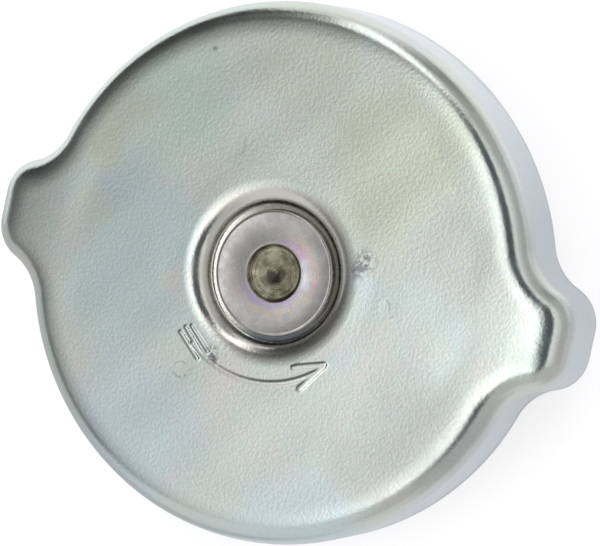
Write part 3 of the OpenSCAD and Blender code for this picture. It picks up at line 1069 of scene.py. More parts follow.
@dataclass(frozen=True)
class OpeningArrow:
    """Arrow that shows the way to open: a bow with a feathered tail and two barbs."""

    bow_r: float = 16.1
    bow_from: float = -127.0
    bow_to: float = -44.5
    bow_half_width: float = 0.32
    height: float = 0.11
    tip: Point2 = (11.45, -11.0)
    barbs: tuple[tuple[Point2, float], ...] = (((6.8, -12.5), 0.4), ((8.4, -15.35), 0.42))
    tail: tuple[tuple[Point2, Point2], ...] = (
        ((-12.0, -11.7), (-8.4, -14.9)), ((-11.3, -10.8), (-7.7, -14.2)), ((-10.4, -10.4), (-7.0, -13.5)))
    tail_half_width: float = 0.26

    def rise(self, x: np.ndarray, y: np.ndarray) -> np.ndarray:
        """Height of the arrow over the face.

        Args:
            x: Places along X.
            y: Places along Y.

        Returns:
            The height at each place.
        """
        turn = np.radians(np.clip(np.degrees(np.arctan2(y, x)), self.bow_from, self.bow_to))
        away = np.hypot(x - self.bow_r * np.cos(turn), y - self.bow_r * np.sin(turn))
        rise = ridge_height(away, self.bow_half_width, self.height)
        lines = [Ridge(self.tip, end, width, self.height) for end, width in self.barbs]
        lines += [Ridge(start, end, self.tail_half_width, self.height) for start, end in self.tail]
        for line in lines:
            rise = np.maximum(rise, line.rise(x, y))
        return rise


@dataclass(frozen=True)
class Outline:
    """Stations round the cover: their directions, and the outline's points and outward normals there."""

    directions: np.ndarray
    points: np.ndarray
    normals: np.ndarray

    def inset(self, width: float) -> np.ndarray:
        """The outline moved inwards."""
        return self.points - self.normals * width


@dataclass
class CoverSheet:
    """Pressed cover: a round face with a dimple, two ears, a rolled shoulder and a skirt.

    A dome is given by its start along X and its radius, and a wave by its share of the height, its
    radians per millimetre along X and Y, and its start.
    """

    round_r: float = 40.0
    ear_reach: float = 46.6
    ear_flat: float = 4.1
    corner_r: float = 5.85
    hollow_r: float = 8.3
    sheet: float = 1.2
    top_z: float = 29.6
    skirt_z: float = 16.6
    skirt_levels: Point3 = (24.0, 22.0, 19.5)
    edge_r: float = 0.4
    edge_steps: int = 3
    shoulder_r: float = 3.7
    shoulder_steps: int = 16
    under_shoulder_steps: int = 6
    roll_r: float = 14.0
    roll_tilt: float = 8.0
    left_dome: Point2 = (34.0, 84.0)
    right_dome: Point2 = (37.0, 64.0)
    dimple_r: float = 13.92
    dimple_floor: float = 27.1
    floor_lift: float = 0.14
    rim_bends: tuple[Bend, ...] = (Bend(6.2, 0.0, 12.0, 5), Bend(3.6, 12.0, 34.0, 7))
    wall_tilt: float = 68.0
    wall_steps: int = 7
    foot_r: float = 0.7
    foot_steps: int = 4
    head_land_r: float = 8.6
    hole_r: float = 6.55
    hole_break: float = 0.15
    # Radius, and fall from the face's lower side or rise over the dimple floor's lower side
    under_rim: tuple[Point2, ...] = ((12.9, 0.0), (12.4, 0.15))
    under_foot: tuple[Point2, ...] = ((10.4, 0.45), (9.6, 0.0))
    wave: float = 0.03
    waves: tuple[tuple[float, float, float, float], ...] = (
        (1.0, 0.31, 0.17, 0.6), (1.0, -0.23, 0.36, 2.1), (0.7, 0.52, -0.41, 4.0))
    wave_edge: Point2 = (9.0, 5.0)
    wave_dimple: Point2 = (0.5, 3.0)
    weld_circle_r: float = 19.3
    weld_turns: Point3 = (-2.0, 118.0, -122.0)
    weld_pit: float = 0.012
    weld_pit_r: Point2 = (0.9, 1.6)
    stations: int = 672
    # Rings of the face: close together where the arrow is, wider out to the round part's end, then
    # blended out to the shoulder
    fine_gap: float = 0.15
    fine_step: float = 0.155
    fine_to: float = 18.1
    wide_from: float = 18.4
    wide_step: float = 0.75
    round_to: float = 24.0
    blend_rings: int = 24
    blend_power: float = 0.8
    arrow: OpeningArrow = field(default_factory=OpeningArrow)

    @property
    def face_z(self) -> float:
        """Height of the plain face; the arrow stands up from it to the top of the cover."""
        return self.top_z - self.arrow.height

    def ear_centres(self) -> tuple[np.ndarray, np.ndarray]:
        """Find the arcs of an ear.

        Returns:
            Centres of its corner arc and of the hollow beside it, in the first quadrant.
        """
        corner = np.array([self.ear_reach - self.corner_r, self.ear_flat / 2.0])
        distance = float(np.linalg.norm(corner))
        to_axis = self.round_r + self.hollow_r
        to_corner = self.corner_r + self.hollow_r
        along = (to_axis ** 2 - to_corner ** 2 + distance ** 2) / (2.0 * distance)
        aside = math.sqrt(to_axis ** 2 - along ** 2)
        ahead = corner / distance
        return corner, along * ahead + aside * np.array([-ahead[1], ahead[0]])

    def outline(self) -> Outline:
        """Lay out the stations round the cover.

        Returns:
            The outline.
        """
        angles = (np.arange(self.stations) + 0.5) * (2.0 * math.pi / self.stations)
        directions = np.stack([np.cos(angles), np.sin(angles)], axis=1)
        corner, hollow = self.ear_centres()
        towards = (hollow - corner) / np.linalg.norm(hollow - corner)
        corner_end = corner + self.corner_r * towards
        hollow_end = hollow * self.round_r / np.linalg.norm(hollow)
        bounds = [math.atan2(self.ear_flat / 2.0, self.ear_reach), math.atan2(corner_end[1], corner_end[0]),
                  math.atan2(hollow_end[1], hollow_end[0])]
        points = np.zeros_like(directions)
        normals = np.zeros_like(directions)
        for i, direction in enumerate(directions):
            signs = np.sign(direction)
            ray = np.abs(direction)
            turn = math.atan2(ray[1], ray[0])
            if turn <= bounds[0]:
                point = ray * self.ear_reach / ray[0]
                normal = np.array([1.0, 0.0])
            elif turn <= bounds[1]:
                point = ray * self.ray_hit(ray, corner, self.corner_r, 1.0)
                normal = (point - corner) / self.corner_r
            elif turn <= bounds[2]:
                point = ray * self.ray_hit(ray, hollow, self.hollow_r, -1.0)
                normal = (hollow - point) / self.hollow_r
            else:
                point = ray * self.round_r
                normal = ray
            points[i] = point * signs
            normals[i] = normal * signs
        return Outline(directions, points, normals)

    @staticmethod
    def ray_hit(ray: np.ndarray, centre: np.ndarray, radius: float, side: float) -> float:
        """Follow a ray from the axis to a circle.

        Args:
            ray: Direction of the ray.
            centre: Centre of the circle.
            radius: Radius of the circle.
            side: 1 for the circle's far side, -1 for its near side.

        Returns:
            The distance along the ray.
        """
        along = float(ray @ centre)
        aside = float(centre @ centre) - along ** 2
        return along + side * math.sqrt(radius ** 2 - aside)

    @staticmethod
    def edge_distance(ring: np.ndarray, outline: np.ndarray) -> np.ndarray:
        """Measure a flat ring from the outline.

        Args:
            ring: Points of the ring.
            outline: Points of the outline.

        Returns:
            Distance of each point of the ring.
        """
        ends = np.roll(outline, -1, axis=0)
        along = ends - outline
        least = np.full(len(ring), np.inf)
        for i, point in enumerate(ring):
            share = np.einsum("ij,ij->i", point - outline, along) / (along ** 2).sum(axis=1)
            nearest = outline + along * np.clip(share, 0.0, 1.0)[:, None]
            least[i] = np.hypot(*(nearest - point).T).min()
        return least

    def shoulder_run(self) -> float:
        """Width of the shoulder's arc, between the roll and the skirt."""
        return self.shoulder_r * (1.0 - math.sin(math.radians(self.roll_tilt)))

    def roll_fall(self, distance: np.ndarray) -> np.ndarray:
        """Depth of the soft roll towards the edge.

        Args:
            distance: Distances from the outline.

        Returns:
            The depth at each distance.
        """
        reach = self.roll_r * math.sin(math.radians(self.roll_tilt))
        along = np.clip(self.shoulder_run() + reach - distance, 0.0, reach)
        return self.roll_r - np.sqrt(self.roll_r ** 2 - along ** 2)

    def ear_fall(self, x: np.ndarray) -> np.ndarray:
        """Depth of the soft dome of the ears.

        Args:
            x: Places along the ears.

        Returns:
            The depth at each place.
        """
        start = np.where(x < 0.0, self.left_dome[0], self.right_dome[0])
        radius = np.where(x < 0.0, self.left_dome[1], self.right_dome[1])
        return np.maximum(np.abs(x) - start, 0.0) ** 2 / (2.0 * radius)

    def relief(self, x: np.ndarray, y: np.ndarray) -> np.ndarray:
        """Height of the face over its plane: arrow, weld marks and faint waves.

        Args:
            x: Places along X.
            y: Places along Y.

        Returns:
            The height at each place.
        """
        radius = np.hypot(x, y)
        height = self.arrow.rise(x, y)
        for turn in np.radians(self.weld_turns):
            away = np.hypot(x - self.weld_circle_r * np.cos(turn), y - self.weld_circle_r * np.sin(turn))
            height = height - self.weld_pit * (1.0 - smoothstep(*self.weld_pit_r, away))
        swell = sum(share * np.sin(along_x * x + along_y * y + start)
                    for share, along_x, along_y, start in self.waves)
        swell = swell / sum(share for share, *_ in self.waves) - 1.0
        outer, inner = self.wave_edge
        fade = 1.0 - smoothstep(self.round_r - outer, self.round_r - inner, radius)
        inner, outer = self.wave_dimple
        fade = fade * smoothstep(self.dimple_r - inner, self.dimple_r + outer, radius)
        return height + self.wave * swell * fade * (height <= 0.0)

    def dimple_path(self) -> list[Point2]:
        """Follow the sheet from the face down the dimple's wall to its floor.

        Returns:
            Radius and height of each point.
        """
        depth = self.face_z - self.dimple_floor - self.floor_lift
        foot = Bend(self.foot_r, self.wall_tilt, 0.0, self.foot_steps)
        rim_tilt = self.rim_bends[-1].end
        left = depth - sum(bend.fall() for bend in self.rim_bends) - foot.fall()
        wall_r = left / Bend(1.0, rim_tilt, self.wall_tilt).fall()
        wall = Bend(wall_r, rim_tilt, self.wall_tilt, self.wall_steps)
        path = pressed_path((*self.rim_bends, wall, foot))
        return [(self.dimple_r - run, self.face_z - fall) for run, fall in path]

    def face_rings(self, outline: Outline) -> list[np.ndarray]:
        """Flat rings of the face, from the dimple out to the shoulder.

        Args:
            outline: The cover's outline.

        Returns:
            The rings as arrays of points in the plane.
        """
        fine = np.arange(self.dimple_r + self.fine_gap, self.fine_to, self.fine_step)
        wide = np.arange(self.wide_from, self.round_to, self.wide_step)
        rings = [outline.directions * r for r in np.concatenate([fine, wide])]
        start = outline.directions * self.round_to
        end = outline.inset(self.shoulder_run())
        for share in np.linspace(0.0, 1.0, self.blend_rings):
            rings.append(start + (end - start) * share ** self.blend_power)
        return rings

    def upper_rings(self, outline: Outline) -> list[np.ndarray]:
        """Rings of the upper side, from the rivet's hole out to the end of the shoulder.

        Args:
            outline: The cover's outline.

        Returns:
            The rings as arrays of points.
        """
        dimple = [(self.hole_r + self.hole_break, self.dimple_floor), (self.head_land_r, self.dimple_floor)]
        dimple += reversed(self.dimple_path())
        rings = [self.level(outline.directions * r, z) for r, z in dimple]
        for ring in self.face_rings(outline):
            z = self.face_z + self.relief(ring[:, 0], ring[:, 1]) - self.ear_fall(ring[:, 0])
            roll = self.roll_fall(self.edge_distance(ring, outline.points))
            rings.append(np.column_stack([ring, z - roll]))
        drop = float(self.roll_fall(np.array([0.0]))[0])
        shoulder = Bend(self.shoulder_r, self.roll_tilt, 90.0, self.shoulder_steps)
        for run, fall in pressed_path((shoulder,))[1:]:
            ring = outline.inset(self.shoulder_run() - run)
            rings.append(np.column_stack([ring, self.face_z - drop - fall - self.ear_fall(ring[:, 0])]))
        return rings

    def lower_rings(self, outline: Outline) -> list[np.ndarray]:
        """Rings down the skirt, round its lower edge and back along the lower side to the hole.

        Args:
            outline: The cover's outline.

        Returns:
            The rings as arrays of points.
        """
        edge_z = self.skirt_z + self.edge_r
        edge = pressed_path((Bend(self.edge_r, 90.0, 0.0, self.edge_steps),))
        under = self.top_z - self.sheet
        bend_r = self.shoulder_r - self.sheet
        insets = [(0.0, z) for z in (*self.skirt_levels, edge_z)]
        insets += [(run, edge_z - fall) for run, fall in edge[1:]]
        insets += [(self.sheet - run, edge_z - fall) for run, fall in reversed(edge)]
        for turn in np.radians(np.linspace(90.0, 0.0, self.under_shoulder_steps + 1)):
            rise = under - bend_r * (1.0 - math.cos(turn))
            insets.append((self.shoulder_r - bend_r * math.sin(turn), rise))
        floor = self.dimple_floor - self.sheet
        inwards = [(self.round_to, under)]
        inwards += [(r, under - fall) for r, fall in self.under_rim]
        inwards += [(r, floor + rise) for r, rise in self.under_foot]
        inwards += [(self.hole_r, floor), (self.hole_r, self.dimple_floor - self.hole_break)]
        rings = [self.level(outline.inset(width), z) for width, z in insets]
        return rings + [self.level(outline.directions * r, z) for r, z in inwards]

    @staticmethod
    def level(ring: np.ndarray, z: float) -> np.ndarray:
        """Flat ring lifted to a height."""
        return np.column_stack([ring, np.full(len(ring), z)])

    def build(self, finishes: FinishSet) -> None:
        """Build the cover as one closed sheet.

        Args:
            finishes: The cap's finishes.
        """
        outline = self.outline()
        rings = self.upper_rings(outline) + self.lower_rings(outline)
        faces = MeshMaker.ring_faces(len(rings), self.stations, True)
        obj = MeshMaker.build("cover_sheet", np.concatenate(rings), faces)
        dress(obj, finishes.zinc)
        settle(obj, "cover", Body.COVER)


@dataclass
class RivetStem:
    """Rivet that joins the cover and the valve: rolled head with a drilled recess, shank and lower head."""

    head_r: float = 9.34
    head_z: float = 27.15
    head_h: float = 0.8
    trough_r: float = 6.9
    trough_depth: float = 0.13
    lip_rise: float = 0.15
    lip_width: float = 0.48
    lip_fall: float = 0.08
    crown_inset: Point2 = (0.35, 0.2)
    crown_steps: int = 14
    recess_r: float = 4.35
    recess_depth: float = 0.9
    recess_break: float = 0.02
    recess_foot: Point2 = (0.5, 0.2)
    dip_r: float = 1.5
    dip_depth: float = 0.36
    dip_tip: Point2 = (0.25, 0.02)
    shank_r: float = 6.5
    washer_z: float = 19.75
    lower_head_r: float = 8.5
    lower_head_h: float = 2.0
    corner_steps: int = 6
    segments: int = 224

    def build(self, finishes: FinishSet) -> None:
        """Build the rivet as one turned piece.

        Args:
            finishes: The cap's finishes.
        """
        corners = self.recess_corners() + self.crown_corners() + self.stem_corners()
        obj = Section(corners, self.corner_steps).turn("rivet", self.segments)
        dress(obj, finishes.rivet)
        settle(obj, "rivet_stem", Body.VALVE_BODY)

    def top(self) -> float:
        """Height of the head at the rim of its recess."""
        return self.head_z + self.head_h

    def lip_r(self) -> float:
        """Radius of the lip's crest."""
        return self.head_r - self.lip_width

    def recess_corners(self) -> list[Corner]:
        """Section of the recess, from the axis to its rim.

        Returns:
            The corners.
        """
        bottom = self.top() - self.recess_depth
        tip = bottom - self.dip_depth
        foot_in, foot_rise = self.recess_foot
        return [Corner(0.0, tip), Corner(self.dip_tip[0], tip + self.dip_tip[1]),
                Corner(self.dip_r, bottom, 0.7), Corner(self.recess_r - foot_in, bottom + foot_rise, 0.3),
                Corner(self.recess_r, self.top() - self.recess_break, 0.15)]

    def crown_corners(self) -> list[Corner]:
        """Section of the head's top, dished between the recess and the lip.

        Returns:
            The corners.
        """
        floor = self.top() - self.trough_depth
        start = self.recess_r + self.crown_inset[0]
        end = self.lip_r() - self.crown_inset[1]
        corners = []
        for r in np.linspace(start, end, self.crown_steps):
            inner = (self.trough_r - r) / (self.trough_r - self.recess_r)
            outer = (r - self.trough_r) / (self.lip_r() - self.trough_r)
            rise = self.trough_depth * inner ** 2 if inner > 0.0 else self.lip_rise * outer ** 2
            corners.append(Corner(float(r), floor + rise))
        return corners

    def stem_corners(self) -> list[Corner]:
        """Section of the lip, the shank and the lower head, back to the axis.

        Returns:
            The corners.
        """
        lip_z = self.top() - self.trough_depth + self.lip_rise
        bottom = self.washer_z - self.lower_head_h
        return [Corner(self.lip_r(), lip_z, 0.25), Corner(self.head_r, lip_z - self.lip_fall, 0.4),
                Corner(self.head_r, self.head_z, 0.1), Corner(self.shank_r, self.head_z, 0.05),
                Corner(self.shank_r, self.washer_z, 0.05), Corner(self.lower_head_r, self.washer_z, 0.3),
                Corner(self.lower_head_r, bottom, 0.6), Corner(0.0, bottom)]


class PieceTree(NodeSketch):
    """Geometry Nodes tree with named inputs, which ends in real geometry with one finish."""

    SIZES: tuple[str, ...] = ()

    def __init__(self, name: str, material: bpy.types.Material, others: dict[str, str]) -> None:
        """Start the tree with its inputs.

        Args:
            name: Name of the tree.
            material: Finish of the piece.
            others: Kind of each input that is no size, by name.
        """
        super().__init__(bpy.data.node_groups.new(name, "GeometryNodeTree"))
        self.material = material
        kinds = {**others, **{size: "Float" for size in self.SIZES}}
        for label, kind in kinds.items():
            self.tree.interface.new_socket(label, in_out="INPUT", socket_type="NodeSocket" + kind)
        self.tree.interface.new_socket("Geometry", in_out="OUTPUT", socket_type="NodeSocketGeometry")
        self.given = self.add("NodeGroupInput").outputs

    def sizes(self) -> list[Socket]:
        """The sizes that are given, in order."""
        return [self.given[size] for size in self.SIZES]

    def index(self) -> Socket:
        """Number of the point."""
        return self.add("GeometryNodeInputIndex").outputs[0]

    def on_circle(self, radius: Value, turn: Value, level: Value) -> Socket:
        """Place on a circle round the axis.

        Args:
            radius: Radius of the circle.
            turn: Angle round the axis, in radians.
            level: Height of the circle.

        Returns:
            The place.
        """
        x = self.times(radius, self.math("COSINE", turn))
        y = self.times(radius, self.math("SINE", turn))
        return self.add("ShaderNodeCombineXYZ", x, y, level).outputs[0]

    def end(self, geometry: Socket) -> None:
        """Make the geometry real, give it the finish and hand it out.

        Args:
            geometry: The finished geometry.
        """
        finish = self.add("GeometryNodeSetMaterial")
        self.feed(finish.inputs["Geometry"], self.add("GeometryNodeRealizeInstances", geometry).outputs[0])
        finish.inputs["Material"].default_value = self.material
        self.add("NodeGroupOutput", finish.outputs[0])


class CoilTree(PieceTree):
    """Tree that winds a coil spring with one closed turn at each end."""

    SIZES = ("Mean Radius", "Wire", "Turns", "Base", "Height")
    POINTS = 420
    WIRE_SIDES = 18

    def __init__(self, material: bpy.types.Material) -> None:
        """Build the tree.

        Args:
            material: Finish of the wire.
        """
        super().__init__("coil_spring", material, {})
        radius, wire, turns, base, height = self.sizes()
        line = self.add("GeometryNodeMeshLine", mode="OFFSET")
        line.inputs["Count"].default_value = self.POINTS
        curve = self.add("GeometryNodeMeshToCurve", line.outputs[0])
        share = self.over(self.index(), float(self.POINTS - 1))
        turn = self.times(share, self.plus(turns, 2.0))
        put = self.add("GeometryNodeSetPosition", curve.outputs[0])
        level = self.plus(base, self.plus(self.rise(turn, wire, turns, height), self.times(wire, 0.5)))
        self.feed(put.inputs["Position"], self.on_circle(radius, self.times(turn, 2.0 * math.pi), level))
        round_wire = self.add("GeometryNodeCurvePrimitiveCircle", mode="RADIUS")
        round_wire.inputs["Resolution"].default_value = self.WIRE_SIDES
        self.feed(round_wire.inputs["Radius"], self.times(wire, 0.5))
        sweep = self.add("GeometryNodeCurveToMesh")
        self.feed(sweep.inputs["Curve"], put.outputs[0])
        self.feed(sweep.inputs["Profile Curve"], round_wire.outputs[0])
        sweep.inputs["Fill Caps"].default_value = True
        self.end(sweep.outputs[0])

    def rise(self, turn: Socket, wire: Socket, turns: Socket, height: Socket) -> Socket:
        """Rise of the wire above its start.

        Args:
            turn: Turns from the start.
            wire: Diameter of the wire.
            turns: Working turns of the spring.
            height: Height of the spring.

        Returns:
            The rise.
        """
        pitch = self.over(self.minus(height, self.times(wire, 3.0)), turns)
        first = self.times(wire, self.math("MINIMUM", turn, 1.0))
        working = self.math("MAXIMUM", self.minus(turn, 1.0), 0.0)
        middle = self.times(pitch, self.math("MINIMUM", working, turns))
        after = self.minus(turn, self.plus(turns, 1.0))
        last = self.times(wire, self.math("MAXIMUM", after, 0.0))
        return self.plus(self.plus(first, middle), last)


class HoleTree(PieceTree):
    """Tree that cuts a ring of round holes through a turned piece."""

    SIZES = ("Circle Radius", "Hole Radius", "Level", "Depth", "First Turn")
    DRILL_SIDES = 48

    def __init__(self, axis: HoleAxis, material: bpy.types.Material) -> None:
        """Build the tree.

        Args:
            axis: Direction of the holes.
            material: Finish of the piece.
        """
        super().__init__("ring_of_holes_" + axis.value, material, {"Geometry": "Geometry", "Count": "Int"})
        circle_r, hole_r, level, depth, first = self.sizes()
        count = self.given["Count"]
        turn = self.plus(first, self.times(self.index(), self.over(2.0 * math.pi, count)))
        points = self.add("GeometryNodePoints")
        self.feed(points.inputs["Count"], count)
        self.feed(points.inputs["Position"], self.on_circle(circle_r, turn, level))
        drill = self.add("GeometryNodeMeshCylinder")
        drill.inputs["Vertices"].default_value = self.DRILL_SIDES
        self.feed(drill.inputs["Radius"], hole_r)
        self.feed(drill.inputs["Depth"], depth)
        tilt = math.pi / 2.0 if axis is HoleAxis.RADIAL else 0.0
        spread = self.add("GeometryNodeInstanceOnPoints")
        self.feed(spread.inputs["Points"], points.outputs[0])
        self.feed(spread.inputs["Instance"], drill.outputs["Mesh"])
        self.feed(spread.inputs["Rotation"], self.add("ShaderNodeCombineXYZ", 0.0, tilt, turn).outputs[0])
        drills = self.add("GeometryNodeRealizeInstances", spread.outputs[0])
        cut = self.add("GeometryNodeMeshBoolean", self.given["Geometry"], drills.outputs[0],
                       operation="DIFFERENCE", solver="EXACT")
        self.end(cut.outputs[0])


def run_tree(obj: bpy.types.Object, tree: bpy.types.NodeTree, values: dict[str, Any]) -> None:
    """Run a Geometry Nodes tree on an object and keep its result as a plain mesh.

    Args:
        obj: Object that carries the tree; its mesh is replaced.
        tree: The tree.
        values: Value of each named input.
    """
    modifier = obj.modifiers.new(tree.name, "NODES")
    modifier.node_group = tree
    for item in tree.interface.items_tree:
        if item.in_out == "INPUT" and item.name in values:
            modifier[item.identifier] = values[item.name]
    bpy.context.view_layer.update()
    graph = bpy.context.evaluated_depsgraph_get()
    mesh = bpy.data.meshes.new_from_object(obj.evaluated_get(graph), depsgraph=graph)
    mesh.name = obj.name
    obj.modifiers.remove(modifier)
    obj.data = mesh


@dataclass(frozen=True)
class CoilSpring:
    """Coil spring of round wire that stands between two seats."""

    name: str
    node: str
    body: Body
    joint: str
    mean_r: float
    wire: float
    turns: float
    base: float
    height: float
    anchor: float
    keep: float

    def build(self, finishes: FinishSet, tree: CoilTree) -> None:
        """Wind the spring and set it on its body.

        Args:
            finishes: The cap's finishes.
            tree: The winding tree.
        """
        obj = MeshMaker.link(self.name, bpy.data.meshes.new(self.name))
        values = {"Mean Radius": self.mean_r * MM, "Wire": self.wire * MM, "Turns": self.turns,
                  "Base": self.base * MM, "Height": self.height * MM}
        run_tree(obj, tree.tree, values)
        MeshMaker.face_outwards(obj.data)
        dress(obj, finishes.wire)
        settle(obj, self.node, self.body)
        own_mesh(obj)


@dataclass(frozen=True)
class HoleRing:
    """Ring of round holes through a turned piece."""

    axis: HoleAxis
    count: int
    circle_r: float
    hole_r: float
    level: float
    depth: float
    first_turn: float = 0.0

    def values(self) -> dict[str, Any]:
        """Inputs of the drilling tree, in metres and radians.

        Returns:
            Value of each input by name.
        """
        return {"Count": self.count, "Circle Radius": self.circle_r * MM, "Hole Radius": self.hole_r * MM,
                "Level": self.level * MM, "Depth": self.depth * MM,
                "First Turn": math.radians(self.first_turn)}


class ValveShop:
    """Turns the pieces of the valve, drills them, dresses them and sets them on their bodies."""

    CORNER_STEPS = 4
    SEGMENTS = 144
    # A drilled piece shades flat across edges that bend more than this
    SHARP_BEND = 40.0

    def __init__(self, finishes: FinishSet) -> None:
        """Keep the finishes."""
        self.finishes = finishes

    def make(self, node: str, body: Body, slot: Slot, corners: Sequence[Corner],
             holes: Union[HoleRing, None] = None) -> None:
        """Make one piece that stands for a node.

        Args:
            node: Node that it stands for.
            body: Body that carries it.
            slot: Material slot of its finish.
            corners: Corners of its section.
            holes: Holes to drill, if any.
        """
        obj = Section(corners, self.CORNER_STEPS).turn(node + "_turned", self.SEGMENTS)
        material = self.finishes.for_slot(slot)
        if holes is not None:
            run_tree(obj, HoleTree(holes.axis, material).tree, holes.values())
            obj.data.shade_smooth()
            obj.data.set_sharp_from_angle(angle=math.radians(self.SHARP_BEND))
        dress(obj, material)
        settle(obj, node, body)


@dataclass
class ValveHousing:
    """Pressed housing of the pressure spring, and the gasket above it that seals the filler neck's rim."""

    hole_r: float = 6.6
    radius: float = 20.0
    sheet: float = 1.0
    top: float = 21.55
    bottom: float = 11.55
    corner_r: float = 2.4
    lip_bend_r: float = 1.4
    lip_in_r: float = 17.5
    windows: int = 4
    window_r: float = 2.6
    window_z: float = 16.05
    gasket_r: float = 35.1
    gasket_t: float = 2.0
    # Inner and outer radius of each groove between the gasket's ribs
    grooves: tuple[Point2, ...] = ((21.5, 26.0), (27.4, 30.2), (31.6, 33.6))
    groove_depth: float = 0.28
    groove_flank: float = 0.3

    def build(self, shop: ValveShop) -> None:
        """Build the housing and the gasket.

        Args:
            shop: Maker of the valve's pieces.
        """
        windows = HoleRing(HoleAxis.RADIAL, self.windows, self.radius - self.sheet / 2.0, self.window_r,
                           self.window_z, depth=self.sheet * 3.0, first_turn=180.0 / self.windows)
        shop.make("spring_housing", Body.VALVE_BODY, Slot.BRIGHT_SHEET, self.housing_section(), windows)
        shop.make("top_gasket", Body.VALVE_BODY, Slot.RUBBER, self.gasket_section())

    def housing_section(self) -> list[Corner]:
        """Section of the housing: top, wall and turned-in lip.

        Returns:
            The corners.
        """
        inner = self.radius - self.sheet
        ceiling = self.top - self.sheet
        lip = self.bottom + self.sheet
        return [Corner(self.hole_r, self.top, 0.15), Corner(self.radius, self.top, self.corner_r),
                Corner(self.radius, self.bottom, self.lip_bend_r), Corner(self.lip_in_r, self.bottom, 0.3),
                Corner(self.lip_in_r, lip, 0.3), Corner(inner, lip, self.lip_bend_r - self.sheet),
                Corner(inner, ceiling, self.corner_r - self.sheet), Corner(self.hole_r, ceiling, 0.15)]

    def gasket_section(self) -> list[Corner]:
        """Section of the gasket: flat on the housing, with moulded ribs outside it.

        Returns:
            The corners.
        """
        over = self.top + self.gasket_t
        land = self.top + self.groove_depth
        corners = [Corner(self.hole_r, over, 0.2), Corner(self.hole_r, self.top, 0.2)]
        for start, end in self.grooves:
            corners += [Corner(start, self.top, 0.25), Corner(start + self.groove_flank, land, 0.15),
                        Corner(end - self.groove_flank, land, 0.15), Corner(end, self.top, 0.25)]
        return corners + [Corner(self.gasket_r, self.top, 0.5), Corner(self.gasket_r, over, 0.5)]


